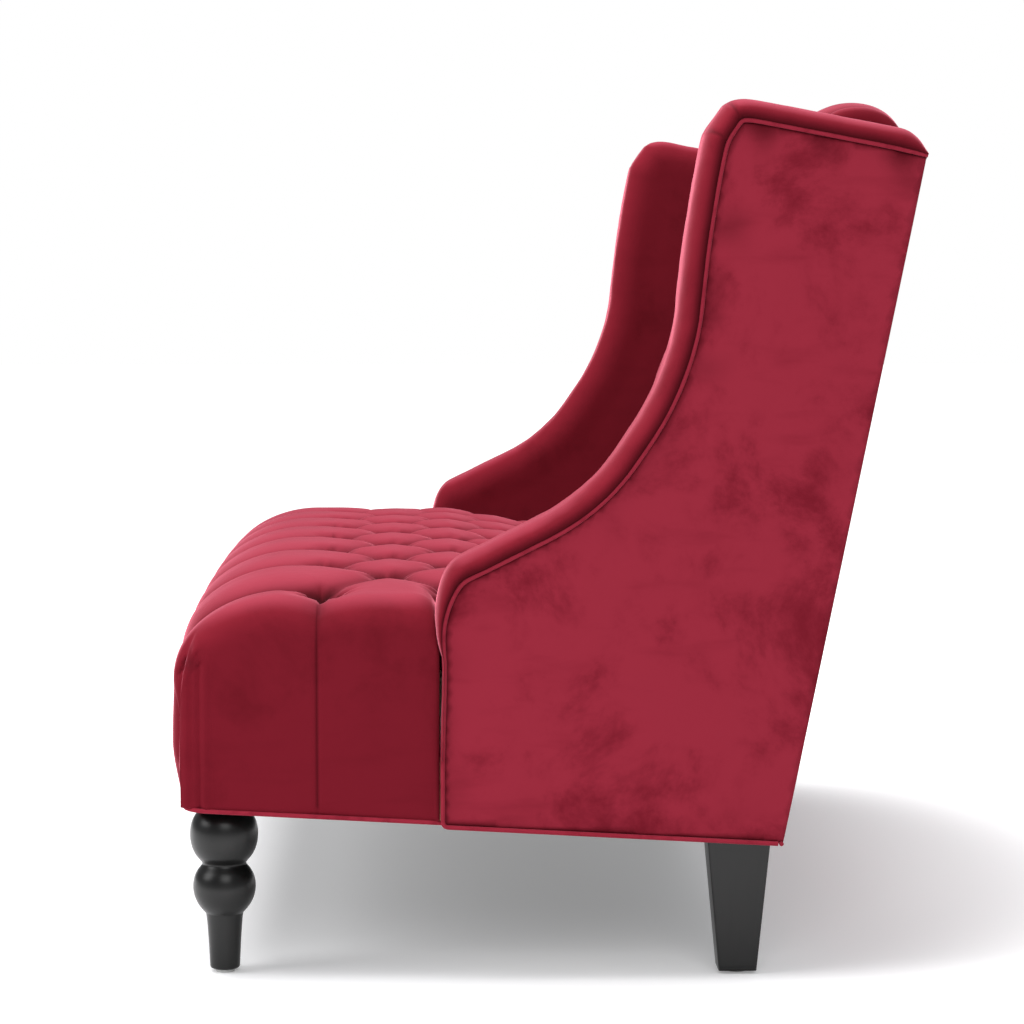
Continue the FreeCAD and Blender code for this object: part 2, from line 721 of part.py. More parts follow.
def make_seat_welt():
    """Eight sided piping along the foot of the seat: one side, the front and the other side."""
    x = seat_side_x - welt_radius / 2.0
    y = seat_tuck + welt_radius / 2.0
    z = -welt_radius
    r = seat_corner_radius
    rear = seat_ear_y - ear_gap - seat_front_y
    slant = quarter_slant(r)
    points = [Vector(-x, rear, z), Vector(-x, y + r, z), Vector(slant - x, y + slant, z), Vector(r - x, y, z),
              Vector(x - r, y, z), Vector(x - slant, y + slant, z), Vector(x, y + r, z), Vector(x, rear, z)]
    path = Part.Wire([Part.makeLine(points[0], points[1]),
                      Part.Arc(points[1], points[2], points[3]).toShape(),
                      Part.makeLine(points[3], points[4]),
                      Part.Arc(points[4], points[5], points[6]).toShape(),
                      Part.makeLine(points[6], points[7])])
    turns = [math.radians(22.5 + 45.0 * corner) for corner in range(9)]
    corners = [points[0] + Vector(math.cos(turn), 0, math.sin(turn)) * welt_radius for turn in turns]
    return tilted(path.makePipeShell([Part.makePolygon(corners)], True, False))


keep("seat_welt", make_seat_welt())


# Back frame
frame_top_z = crest_z - rest_gap
post_in = inner_board_x - post_width
post_foot = on_base(-far, far, rail_height, far, -far, far)
frame_front = cover_board + post_depth

post = on_back(back_foot_z, frame_top_z, cover_board, frame_front, post_in, inner_board_x)
keep_pair("back_post", post.common(post_foot))


def back_rail(middle_z):
    half = back_rail_height / 2.0
    return on_back(middle_z - half, middle_z + half, cover_board, frame_front, -post_in, post_in)


top_rail_z = frame_top_z - back_rail_height / 2.0
keep("back_top_rail", back_rail(top_rail_z))
keep("back_middle_rail", back_rail(middle_rail_z))
keep("back_lower_rail", back_rail(lower_rail_z))

uprights = []
for x in (-upright_x, upright_x):
    for z0, z1 in ((lower_rail_z, middle_rail_z), (middle_rail_z, top_rail_z)):
        foot = z0 + back_rail_height / 2.0
        head = z1 - back_rail_height / 2.0
        uprights.append(on_back(foot, head, cover_board, frame_front,
                                x - upright_width / 2.0, x + upright_width / 2.0))
keep("back_uprights", *uprights)

web_low = lower_rail_z - back_rail_height / 2.0
web_front = frame_front + strap_thickness
web_top = frame_front + 2.0 * strap_thickness
upright_straps = [on_back(web_low, frame_top_z, frame_front, web_front, x, x + strap_width)
                  for x in spread(back_straps_upright, strap_width - neck_x, neck_x - strap_width, strap_width)]
keep("back_webbing_upright", *upright_straps)
level_places = spread(back_straps_cross, web_low + strap_width, top_rail_z - strap_width, strap_width)
level_straps = [on_back(z, z + strap_width, web_front, web_top, -neck_x, neck_x) for z in level_places]
keep("back_webbing_cross", *level_straps)
deck_front = web_top + sheet
keep("back_deck", on_back(web_low, frame_top_z, web_top, deck_front, -neck_x, neck_x))

outside_back = on_back(-far, frame_top_z, 0.0, cover_board, -half_width, half_width)
keep("outside_back", outside_back.common(above_base(welt_radius - panel_drop)))
welt_y = rear_y(base_z(back_foot_y) - panel_drop, welt_radius)
welt_z = base_z(back_foot_y) - panel_drop
welt_start = Vector(-half_width, welt_y, welt_z)
back_welt = Part.makeCylinder(welt_radius, 2.0 * half_width, welt_start, Vector(1, 0, 0))
keep("back_welt", back_welt)


# Back cushion
def inside_y(z, depth=0.0):
    """The inside back at height z, moved back by depth measured square to it."""
    crest_front = crest_y - crest_radius * math.cos(inside_rake)
    crest_front_z = crest_z + crest_radius * math.sin(inside_rake)
    return crest_front + (z - crest_front_z) * math.tan(inside_rake) + depth / math.cos(inside_rake)


def make_back_foam():
    """The wedge between the deck sheet and the tufted pad, thicker towards the seat."""
    low = back_bottom_z
    top = frame_top_z
    rear = deck_front + rest_gap
    pad_rear = crest_radius + rest_gap
    points = [(rear_y(low, rear), low), (inside_y(low, pad_rear), low),
              (inside_y(top, pad_rear), top), (rear_y(top, rear), top)]
    return prism(points, -neck_x, neck_x)


keep("back_foam_core", make_back_foam())


def make_back_cushion():
    length = (crest_z + crest_radius - back_bottom_z) / math.cos(inside_rake) + tuft_pitch
    turn = 180.0 - inside_rake_deg
    skin = (1.0 - core_share / 2.0) * crest_radius
    pad = tufted_pad(neck_x, back_first_row, length, crest_radius, turn, skin)
    pad.translate(Vector(0, -crest_radius, crest_radius))
    pad.rotate(Vector(0, 0, 0), Vector(1, 0, 0), 270.0)
    pad.rotate(Vector(0, 0, 0), Vector(0, 0, 1), 180.0)
    pad.rotate(Vector(0, 0, 0), Vector(1, 0, 0), -inside_rake_deg)
    pad.translate(Vector(0, crest_y, crest_z))
    bounds = box(-neck_x, neck_x, seat_rear_y + rest_gap, far, back_bottom_z, far)
    return pad.common(bounds).removeSplitter()


keep("back_cushion", make_back_cushion())

print("nodes", len(nodes), "solids", sum(len(shape.Solids) for shape in nodes.values()))
for name, shape in nodes.items():
    if not shape.isValid():
        print("not valid:", name)
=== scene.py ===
# %% [markdown]
# # A high back settee in red velvet
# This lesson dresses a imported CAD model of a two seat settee. The CAD gives every size and place. Blender
# gives what the eye reads as cloth: tufts with deep dimples, pleats, a padded border round each wing,
# piping, and a pile that shows lighter or darker as it has been brushed.
#
# The frame comes first. Every measure below is in metres, with the floor at Z = 0, the sitter facing -Y and
# the width along X. Right and left in the names are as seen by someone who faces the settee: right is +X.

# %% Load the frame
import json
import math

import bmesh
import bpy
import numpy as np
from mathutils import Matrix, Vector, noise
from mathutils.geometry import delaunay_2d_cdt


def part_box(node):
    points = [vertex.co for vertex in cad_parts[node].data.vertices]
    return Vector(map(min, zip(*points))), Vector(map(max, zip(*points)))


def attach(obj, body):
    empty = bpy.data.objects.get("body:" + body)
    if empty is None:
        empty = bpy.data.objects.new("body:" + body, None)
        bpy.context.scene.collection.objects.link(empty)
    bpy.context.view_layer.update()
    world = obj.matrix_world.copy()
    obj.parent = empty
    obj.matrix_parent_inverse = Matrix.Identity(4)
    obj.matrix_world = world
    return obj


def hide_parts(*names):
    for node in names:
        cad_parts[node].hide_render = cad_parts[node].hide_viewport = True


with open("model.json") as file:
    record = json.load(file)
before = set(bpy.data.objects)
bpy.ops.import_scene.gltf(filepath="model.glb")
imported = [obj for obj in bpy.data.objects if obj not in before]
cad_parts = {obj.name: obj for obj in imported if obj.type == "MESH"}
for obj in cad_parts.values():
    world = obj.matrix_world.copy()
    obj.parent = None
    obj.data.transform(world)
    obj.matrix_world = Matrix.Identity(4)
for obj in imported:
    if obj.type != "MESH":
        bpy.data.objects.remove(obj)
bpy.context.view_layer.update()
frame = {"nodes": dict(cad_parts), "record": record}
nodes = frame["nodes"]

# %% [markdown]
# ## Camera
# The photograph was taken with a long lens, almost square to the settee's right side and a little above the
# seat. A long lens keeps the near and the far wing nearly the same size. The camera is placed by its real
# position and by two small angles, so that the same view can be found again.

# %% Camera
camera_place = Vector((3.952, -0.1436, 0.8195))
tilt_down = math.radians(4.814)
turn_to_rear = math.radians(1.768)
photo_width = 1024
focal_in_pixels = 2948.0

aim = Vector((-math.cos(turn_to_rear) * math.cos(tilt_down),
              math.sin(turn_to_rear) * math.cos(tilt_down), -math.sin(tilt_down)))
lens = bpy.data.cameras.new("camera")
lens.sensor_width = 36.0
lens.sensor_fit = "HORIZONTAL"
lens.lens = lens.sensor_width * focal_in_pixels / photo_width
lens.clip_end = 50.0
camera = bpy.data.objects.new("camera", lens)
camera.location = camera_place
camera.rotation_euler = aim.to_track_quat("-Z", "Y").to_euler()
bpy.context.scene.collection.objects.link(camera)
bpy.context.scene.camera = camera
print("lens", round(lens.lens, 1), "mm")

# %% [markdown]
# ## Node helpers
# Every material below is a small network of nodes. One helper adds a node, and for each input takes either a
# plain value or the socket that feeds it, so that a material reads as a list of what goes into what.

# %% Node helpers
def add_node(tree, kind, inputs=None, **settings):
    """A new node with its settings; each input is given a value or linked to the socket that feeds it."""
    node = tree.nodes.new(kind)
    for name, value in settings.items():
        setattr(node, name, value)
    for name, value in (inputs or {}).items():
        if isinstance(value, bpy.types.NodeSocket):
            tree.links.new(value, node.inputs[name])
        else:
            node.inputs[name].default_value = value
    return node


def math_node(tree, operation, first, second, **settings):
    """The result of a math node on two values or sockets."""
    return add_node(tree, "ShaderNodeMath", {0: first, 1: second}, operation=operation, **settings).outputs[0]


def mix_colours(tree, share, first, second):
    """First colour where share is 0, second where it is 1. The colour sockets of a Mix node are 6, 7 and 2."""
    return add_node(tree, "ShaderNodeMix", {0: share, 6: first, 7: second}, data_type="RGBA").outputs[2]


def object_place(tree):
    """The object's own coordinates, which is where every pattern here is drawn."""
    return add_node(tree, "ShaderNodeTexCoord").outputs["Object"]


def new_material(name):
    """A new material and its node tree, empty."""
    material = bpy.data.materials.new(name)
    material.use_nodes = True
    material.node_tree.nodes.clear()
    return material, material.node_tree


def add_sockets(group, sockets):
    """Adds (name, direction, type) sockets to a node group."""
    for name, direction, kind in sockets:
        group.interface.new_socket(name, in_out=direction, socket_type="NodeSocket" + kind)


# %% [markdown]
# ## Studio
# A pale sweep behind and under the settee, and large soft lamps. The sweep is white to the camera by way of
# the light path, not by more light, so that the velvet keeps its own depth of colour. Near the settee that
# white is held back, so that the floor keeps the settee's shadow.

# %% Floor and sweep
shadow_reach = 0.55
white_from = 1.15
shadow_glow = 0.22
floor_size = 40.0


def make_floor_material():
    """Pale paint that takes the object's shadow, and white to the camera away from the object."""
    material, tree = new_material("studio_floor")
    paint = add_node(tree, "ShaderNodeBsdfPrincipled", {
        "Base Color": (0.87, 0.87, 0.88, 1.0), "Roughness": 0.5})
    away = add_node(tree, "ShaderNodeVectorMath", {0: object_place(tree)}, operation="LENGTH")
    spread = add_node(tree, "ShaderNodeMapRange", {
        "Value": away.outputs["Value"], "From Min": shadow_reach, "From Max": white_from,
        "To Min": shadow_glow, "To Max": 1.0}, interpolation_type="SMOOTHERSTEP")
    glow = add_node(tree, "ShaderNodeEmission", {"Strength": spread.outputs["Result"]})
    path = add_node(tree, "ShaderNodeLightPath")
    seen = math_node(tree, "MAXIMUM", path.outputs["Is Camera Ray"], path.outputs["Is Glossy Ray"])
    off = add_node(tree, "ShaderNodeEmission", {"Strength": 0.0})
    choose = add_node(tree, "ShaderNodeMixShader", {0: seen, 1: off.outputs[0], 2: glow.outputs[0]})
    both = add_node(tree, "ShaderNodeAddShader", {0: paint.outputs[0], 1: choose.outputs[0]})
    add_node(tree, "ShaderNodeOutputMaterial", {"Surface": both.outputs[0]})
    return material


floor_mesh = bpy.data.meshes.new("studio_floor")
half_floor = floor_size / 2.0
floor_mesh.from_pydata([(-half_floor, -half_floor, 0.0), (half_floor, -half_floor, 0.0),
                        (half_floor, half_floor, 0.0), (-half_floor, half_floor, 0.0)], [], [(0, 1, 2, 3)])
floor = bpy.data.objects.new("studio_floor", floor_mesh)
floor_mesh.materials.append(make_floor_material())
bpy.context.scene.collection.objects.link(floor)
print("floor", floor_size, "m across")

# %% World and lamps
fill_strength = 0.36
lamp_aim = (0.0, 0.0, 0.5)


def make_world():
    """White where the camera looks past the floor, and a soft grey light from all round."""
    world = bpy.data.worlds.new("studio")
    world.use_nodes = True
    tree = world.node_tree
    tree.nodes.clear()
    seen = add_node(tree, "ShaderNodeBackground", {"Color": (1.0, 1.0, 1.0, 1.0), "Strength": 1.0})
    fill = add_node(tree, "ShaderNodeBackground", {"Color": (0.95, 0.97, 1.0, 1.0), "Strength": fill_strength})
    path = add_node(tree, "ShaderNodeLightPath")
    choose = add_node(tree, "ShaderNodeMixShader", {
        0: path.outputs["Is Camera Ray"], 1: fill.outputs[0], 2: seen.outputs[0]})
    add_node(tree, "ShaderNodeOutputWorld", {"Surface": choose.outputs[0]})
    bpy.context.scene.world = world


def soft_lamp(name, place, size, power):
    """A square soft box at place, aimed at the middle of the settee."""
    data = bpy.data.lights.new(name, "AREA")
    data.shape = "SQUARE"
    data.size = size
    data.energy = power
    lamp = bpy.data.objects.new(name, data)
    lamp.location = place
    lamp.rotation_euler = (Vector(lamp_aim) - Vector(place)).to_track_quat("-Z", "Y").to_euler()
    bpy.context.scene.collection.objects.link(lamp)


make_world()
soft_lamp("lamp_overhead", (0.1, -0.6, 3.2), 2.4, 140.0)
soft_lamp("lamp_front", (1.4, -3.4, 2.4), 2.0, 60.0)
soft_lamp("lamp_side", (3.9, 0.2, 2.7), 2.2, 58.0)
bpy.context.scene.view_settings.view_transform = "Standard"
print("lamps 3, world fill", fill_strength)

# %% [markdown]
# ## Velvet
# Velvet is a cut pile. Seen straight on it is deep and matt, and along its edges the fibres catch the light,
# which the sheen of the Principled shader gives. Where a hand has brushed the pile the same cloth looks
# darker or lighter, in soft patches with blurred edges. Those patches are a shader node group, because the
# piping and the panels share them at different strengths. Creases get painted shade, a darker colour from an
# attribute that the tufting code writes. The pads' tops, which face up, get painted light: a lighter colour.

# %% Shader group for brushed pile
def make_pile_group():
    """Node group: patches of brushed pile, fine fibre noise and a mask of painted crease shade give colour and
    height.
    """
    group = bpy.data.node_groups.new("brushed_pile", "ShaderNodeTree")
    add_sockets(group, [
        ("Colour", "INPUT", "Color"), ("Brushed Colour", "INPUT", "Color"), ("Shade Colour", "INPUT", "Color"),
        ("Patch Scale", "INPUT", "Float"), ("Patch Strength", "INPUT", "Float"), ("Crease Shade", "INPUT", "Float"),
        ("Colour", "OUTPUT", "Color"), ("Height", "OUTPUT", "Float")])
    given = add_node(group, "NodeGroupInput").outputs
    place = object_place(group)
    broad = add_node(group, "ShaderNodeTexNoise", {
        "Vector": place, "Scale": given["Patch Scale"], "Detail": 9.0, "Roughness": 0.68, "Distortion": 0.25})
    patch = add_node(group, "ShaderNodeMapRange", {
        "Value": broad.outputs["Fac"], "From Min": 0.46, "From Max": 0.70}, interpolation_type="SMOOTHSTEP")
    drawn = add_node(group, "ShaderNodeVectorMath", {0: place, 1: (9.0, 9.0, 42.0)}, operation="MULTIPLY")
    streak = add_node(group, "ShaderNodeTexNoise", {"Vector": drawn.outputs[0], "Scale": 1.0, "Detail": 6.0})
    lines = add_node(group, "ShaderNodeMapRange", {
        "Value": streak.outputs["Fac"], "From Min": 0.55, "From Max": 0.78, "To Max": 0.45})
    either = math_node(group, "MAXIMUM", patch.outputs["Result"], lines.outputs["Result"])
    strength = math_node(group, "MULTIPLY", either, given["Patch Strength"])
    brushed_pile_and_shade = mix_colours(group, strength, given["Colour"], given["Brushed Colour"])
    crease_shaded = mix_colours(group, given["Crease Shade"], brushed_pile_and_shade, given["Shade Colour"])
    fibre = add_node(group, "ShaderNodeTexNoise", {"Vector": place, "Scale": 900.0, "Detail": 2.0})
    soft = add_node(group, "ShaderNodeTexNoise", {"Vector": place, "Scale": 26.0, "Detail": 3.0})
    fine = math_node(group, "MULTIPLY", fibre.outputs["Fac"], 0.12)
    height = math_node(group, "ADD", fine, soft.outputs["Fac"])
    add_node(group, "NodeGroupOutput", {"Colour": crease_shaded, "Height": height})
    return group


pile_group = make_pile_group()
print("pile group", len(pile_group.nodes), "nodes")

# %% Velvet materials
# The third tone of each set is painted shade, mixed in where the crease mask is high.
panel_tones = ((0.290, 0.0210, 0.040, 1.0), (0.170, 0.0085, 0.019, 1.0), (0.070, 0.0025, 0.006, 1.0))
pad_tones = ((0.172, 0.0085, 0.018, 1.0), (0.110, 0.0045, 0.010, 1.0), (0.028, 0.0008, 0.0020, 1.0))
# Painted light: the colour that the pads' up-facing tops are lightened towards.
lit_tone = (0.340, 0.0440, 0.072, 1.0)
sheen_red = (1.0, 0.27, 0.36, 1.0)


def lit_top(tree, colour, crease_shade, share):
    """Painted light: a lighter colour on faces that look up, but not down in a crease."""
    facing = add_node(tree, "ShaderNodeNewGeometry")
    parts = add_node(tree, "ShaderNodeSeparateXYZ", {0: facing.outputs["Normal"]})
    upward = add_node(tree, "ShaderNodeMapRange", {
        "Value": parts.outputs["Z"], "From Min": 0.60, "From Max": 1.0, "To Max": share},
        interpolation_type="SMOOTHSTEP")
    open_pile = math_node(tree, "SUBTRACT", 1.0, crease_shade, use_clamp=True)
    return mix_colours(tree, math_node(tree, "MULTIPLY", upward.outputs["Result"], open_pile), colour, lit_tone)


def make_velvet(name, tones, patch_scale, patch_strength, sheen, bump_strength, crease_shaded=False, lit=0.0):
    """Velvet in three tones, plain, brushed and painted crease shade; a crease-shaded one reads that painted
    shade attribute.
    """
    material, tree = new_material(name)
    pile = add_node(tree, "ShaderNodeGroup", {
        "Colour": tones[0], "Brushed Colour": tones[1], "Shade Colour": tones[2],
        "Patch Scale": patch_scale, "Patch Strength": patch_strength}, node_tree=pile_group)
    colour = pile.outputs["Colour"]
    if crease_shaded:
        crease_shade = add_node(tree, "ShaderNodeAttribute", attribute_name="crease_shade").outputs["Fac"]
        tree.links.new(crease_shade, pile.inputs["Crease Shade"])
    if lit:
        colour = lit_top(tree, colour, crease_shade, lit)
    bump = add_node(tree, "ShaderNodeBump", {
        "Strength": bump_strength, "Distance": 0.004, "Height": pile.outputs["Height"]})
    cloth = add_node(tree, "ShaderNodeBsdfPrincipled", {
        "Base Color": colour, "Roughness": 0.85, "Specular IOR Level": 0.05, "Sheen Weight": sheen,
        "Sheen Roughness": 0.30, "Sheen Tint": sheen_red, "Normal": bump.outputs["Normal"]})
    add_node(tree, "ShaderNodeOutputMaterial", {"Surface": cloth.outputs[0]})
    return material


velvet_panel = make_velvet("velvet_panel", panel_tones, 8.0, 1.0, 0.5, 0.20, crease_shaded=True)
velvet_pad = make_velvet("velvet_pad", pad_tones, 9.0, 0.6, 1.0, 0.20, crease_shaded=True, lit=0.62)
velvet_piping = make_velvet("velvet_piping", panel_tones, 40.0, 0.6, 0.8, 0.25)
print("velvets", [m.name for m in (velvet_panel, velvet_pad, velvet_piping)])

# %% [markdown]
# ## Hard finishes and hidden cloths
# The legs are black satin lacquer over wood, with a trace of the turning tool and of grain in the coat. The
# pieces inside are plain: raw wood with a grain along the piece, woven webbing and burlap, foam, and steel.
# They are hidden, but a part that is opened up should still read as what it is.

# %% Grain group
def make_grain_group():
    """Node group: wood grain along one axis, as a mask, from stretched noise."""
    group = bpy.data.node_groups.new("wood_grain", "ShaderNodeTree")
    add_sockets(group, [("Stretch", "INPUT", "Vector"), ("Mask", "OUTPUT", "Float")])
    given = add_node(group, "NodeGroupInput").outputs
    scale = add_node(group, "ShaderNodeVectorMath", {0: object_place(group), 1: given["Stretch"]},
                     operation="MULTIPLY")
    rings = add_node(group, "ShaderNodeTexNoise", {
        "Vector": scale.outputs[0], "Scale": 1.0, "Detail": 6.0, "Distortion": 0.4})
    add_node(group, "NodeGroupOutput", {"Mask": rings.outputs["Fac"]})
    return group


def two_tones(tree, mask, dark, light, low=0.0, high=1.0):
    """A colour between dark and light, by a mask."""
    tone = add_node(tree, "ShaderNodeValToRGB", {0: mask})
    for element, position, colour in zip(tone.color_ramp.elements, (low, high), (dark, light)):
        element.position = position
        element.color = colour
    return tone.outputs["Color"]


def add_surface(tree, inputs):
    """A Principled shader with these inputs, wired to the material's output."""
    surface = add_node(tree, "ShaderNodeBsdfPrincipled", inputs)
    add_node(tree, "ShaderNodeOutputMaterial", {"Surface": surface.outputs[0]})


grain_group = make_grain_group()
print("grain group", len(grain_group.nodes), "nodes")

# %% Wood and lacquer
def make_wood(name, dark, light, stretch, roughness, gloss):
    """Wood whose grain runs along the axis that stretch leaves longest."""
    material, tree = new_material(name)
    grain = add_node(tree, "ShaderNodeGroup", {"Stretch": stretch}, node_tree=grain_group).outputs["Mask"]
    bump = add_node(tree, "ShaderNodeBump", {"Strength": 0.05, "Distance": 0.001, "Height": grain})
    add_surface(tree, {"Base Color": two_tones(tree, grain, dark, light, 0.35, 0.65), "Roughness": roughness,
                       "Specular IOR Level": gloss, "Normal": bump.outputs["Normal"]})
    return material


lacquer = make_wood("black_lacquer", (0.0022, 0.0021, 0.0020, 1), (0.004, 0.0038, 0.0036, 1),
                    (60, 60, 8), 0.33, 0.32)
raw_wood = make_wood("raw_hardwood", (0.36, 0.22, 0.11, 1), (0.52, 0.35, 0.19, 1), (6, 60, 60), 0.7, 0.4)
plywood = make_wood("plywood", (0.42, 0.28, 0.15, 1), (0.58, 0.42, 0.25, 1), (60, 60, 6), 0.7, 0.4)
print("woods", [m.name for m in (lacquer, raw_wood, plywood)])

# %% Woven and plain finishes
def make_woven(name, dark, light, threads):
    """Plain weave for webbing and burlap, from two crossing bands."""
    material, tree = new_material(name)
    place = object_place(tree)
    across, along = (add_node(tree, "ShaderNodeTexWave", {"Vector": place, "Scale": threads},
                              bands_direction=direction).outputs["Fac"] for direction in ("X", "Y"))
    weave = math_node(tree, "MULTIPLY", across, along)
    add_surface(tree, {"Base Color": two_tones(tree, weave, dark, light), "Roughness": 0.9})
    return material


def make_speckled(name, dark, light, scale, roughness, metallic=0.0):
    """A plain finish with a fine uneven tone, for foam, plastic and steel."""
    material, tree = new_material(name)
    speck = add_node(tree, "ShaderNodeTexNoise", {"Vector": object_place(tree), "Scale": scale})
    add_surface(tree, {"Base Color": two_tones(tree, speck.outputs["Fac"], dark, light),
                       "Roughness": roughness, "Metallic": metallic})
    return material


webbing = make_woven("jute_webbing", (0.24, 0.17, 0.09, 1), (0.46, 0.35, 0.21, 1), 140.0)
burlap = make_woven("burlap", (0.26, 0.19, 0.11, 1), (0.48, 0.38, 0.25, 1), 90.0)
foam = make_speckled("foam", (0.62, 0.54, 0.36, 1), (0.78, 0.70, 0.50, 1), 220.0, 0.95)
dust_cloth = make_speckled("dust_cover_cloth", (0.012, 0.012, 0.012, 1), (0.03, 0.03, 0.03, 1), 400.0, 0.95)
nylon = make_speckled("glide_nylon", (0.70, 0.70, 0.68, 1), (0.82, 0.82, 0.80, 1), 300.0, 0.45)
zinc = make_speckled("zinc_plate", (0.46, 0.47, 0.48, 1), (0.60, 0.61, 0.62, 1), 120.0, 0.4, 1.0)

# %% Finishes on the CAD nodes
slot_finish = {
    "velvet": velvet_panel, "welt_velvet": velvet_piping, "black_lacquer": lacquer, "hardwood": raw_wood,
    "plywood": plywood, "jute_webbing": webbing, "burlap": burlap, "foam": foam,
    "dust_cover_cloth": dust_cloth, "glide_plastic": nylon, "bolt_steel": zinc}
for part in frame["record"]["subparts"]:
    mesh = nodes[part["node"]].data
    mesh.materials.clear()
    mesh.materials.append(slot_finish[part["material_slot"]])

# %% [markdown]
# ## Helpers for cloth surfaces
# Every padded surface here is a grid of points worked out by a formula, so one helper turns rows of points
# into a mesh. Others turn a mesh's faces outward, and finish a piece: they hide the CAD solid that the piece
# stands for and let the piece ride on the settee's only body.

# %% Helpers for meshes
def grid_faces(rows, columns, start=0, closed=False):
    """Quads of a grid whose points are stored row by row."""
    faces = []
    for i in range(rows - 1):
        for j in range(columns if closed else columns - 1):
            k = (j + 1) % columns
            faces.append((start + i * columns + j, start + i * columns + k,
                          start + (i + 1) * columns + k, start + (i + 1) * columns + j))
    return faces


def turn_outward(mesh, merge=0.0):
    """Merges points nearer than merge, if it is given, and turns all faces outward."""
    work = bmesh.new()
    work.from_mesh(mesh)
    if merge:
        bmesh.ops.remove_doubles(work, verts=work.verts, dist=merge)
    bmesh.ops.recalc_face_normals(work, faces=work.faces)
    work.to_mesh(mesh)
    work.free()


def add_object(name, data):
    """A new object at the origin, in the scene."""
    piece = bpy.data.objects.new(name, data)
    bpy.context.scene.collection.objects.link(piece)
    return piece


def dress(piece, replaced):
    """Lets a piece ride on the settee and stand for CAD nodes."""
    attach(piece, "root")
    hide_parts(*replaced)


def mesh_of(name, points, faces, material):
    mesh = bpy.data.meshes.new(name)
    mesh.from_pydata([tuple(p) for p in points], [], faces)
    mesh.materials.append(material)
    return mesh


def add_hard(name, points, faces, material, slot, replaced):
    """A finished hard piece, shaded smooth."""
    mesh = mesh_of(name, points, faces, material)
    piece = add_object(name, mesh)
    turn_outward(mesh, 1e-6)
    mesh.polygons.foreach_set("use_smooth", [True] * len(mesh.polygons))
    dress(piece, replaced)
    return piece


def add_padded(name, points, faces, crease_shades, material, replaced, fill):
    """A padded piece, with its mask of painted crease shade as an attribute: one value from 0 to 1 for each
    point.
    """
    mesh = mesh_of(name, points, faces, material)
    piece = add_object(name, mesh)
    layer = mesh.attributes.new("crease_shade", "FLOAT", "POINT")
    layer.data.foreach_set("value", crease_shades.astype(np.float32))
    turn_outward(mesh, 2e-5)
    mesh.polygons.foreach_set("use_smooth", [True] * len(mesh.polygons))
    dress(piece, replaced)
    return piece


# %% Helpers for formulas
def smoothstep(low, high, value):
    """0 below low, 1 above high, and a soft step between."""
    t = np.clip((value - low) / (high - low), 0.0, 1.0)
    return t * t * (3.0 - 2.0 * t)


def bell(distance, width):
    """1 at no distance, falling off softly over about this width."""
    return np.exp(-(distance / width) ** 2)


def wrinkle(points, scale, seed):
    """Smooth noise from -1 to 1 at each point, the same on every run."""
    shift = Vector((seed * 3.7, seed * 1.3, seed * 2.1))
    return np.array([noise.noise(Vector(p) * scale + shift) for p in points])


def spaced(low, high, size):
    """Values from low to high, about this size apart."""
    return list(np.linspace(low, high, max(2, int(round((high - low) / size)) + 1)))


def mirrored(values):
    """Values greater than 0 on both sides of a 0 in the middle."""
    return [-v for v in reversed(values)] + [0.0] + values


# %% [markdown]
# ## Tufting as a formula
# A tufted pad is one cover pulled down at the tufts, with a pleat folded along every line between two tufts.
# It could be sculpted by hand or left to a cloth simulation, but a formula keeps the diamonds even and stays
# editable. Each point of a pad has flat coordinates on the cover, and it sinks by how near it is to the
# closest pleat, which gives a rounded crest and a sharp valley, and by how near it is to the closest tuft.

# %% Distances on the cover
tuft_pitch = 0.150
row_pitch = tuft_pitch / 2.0
puff_width = 0.060
tuft_radius = 0.045
gather_ring = 0.020
gather_depth = 0.0013


def segment_distance(u, v, segments):
    """Shortest distance of each point (u, v) to a list of segments ((u0, v0), (u1, v1))."""
    best = np.full(u.shape, 1e3)
    for (u0, v0), (u1, v1) in segments:
        du, dv = u1 - u0, v1 - v0
        t = np.clip(((u - u0) * du + (v - v0) * dv) / (du * du + dv * dv), 0.0, 1.0)
        best = np.minimum(best, np.hypot(u - u0 - t * du, v - v0 - t * dv))
    return best


def tuft_sink(u, v, pleats, tufts, pleat_sink, extra_sink):
    """How far each point sinks into the padding, and how much painted crease shade it gets there, from 0 to 1.
    """
    near_pleat = segment_distance(u, v, pleats)
    rise = np.sin(0.5 * np.pi * np.minimum(1.0, near_pleat / puff_width)) ** 0.55
    near_tuft = np.full(u.shape, 1e3)
    folds = np.zeros(u.shape)
    for number, (tu, tv) in enumerate(tufts):
        distance = np.hypot(u - tu, v - tv)
        angle = np.arctan2(v - tv, u - tu)
        closer = distance < near_tuft
        near_tuft = np.where(closer, distance, near_tuft)
        fan = np.cos(8.0 * angle + number * 1.7) + 0.6 * np.cos(13.0 * angle + number)
        folds = np.where(closer, fan, folds)
    dimple = np.clip(1.0 - near_tuft / tuft_radius, 0.0, 1.0) ** 2.2
    gather = bell(near_tuft - gather_ring, 0.014)
    sink = pleat_sink * (1.0 - rise) + extra_sink * dimple + gather_depth * folds * gather
    crease_shade = np.clip(0.85 * (1.0 - rise) ** 1.6 + 1.1 * dimple, 0.0, 1.0)
    return sink, crease_shade


def tuft_rows(first, step, rows):
    """Tufts of rows that alternate between 8 and 7 across, every half pitch, as lists of (u, v)."""
    layout = []
    for row in range(rows):
        count = 8 if row % 2 == 0 else 7
        layout.append([((number - (count - 1) / 2.0) * tuft_pitch, first + row * step)
                       for number in range(count)])
    return layout


def rounded_edge(distance, radius):
    """Drop of a quarter round of this radius, at a distance in from the edge."""
    t = np.clip(1.0 - distance / radius, 0.0, 1.0)
    return radius * (1.0 - np.sqrt(np.maximum(0.0, 1.0 - t * t)))


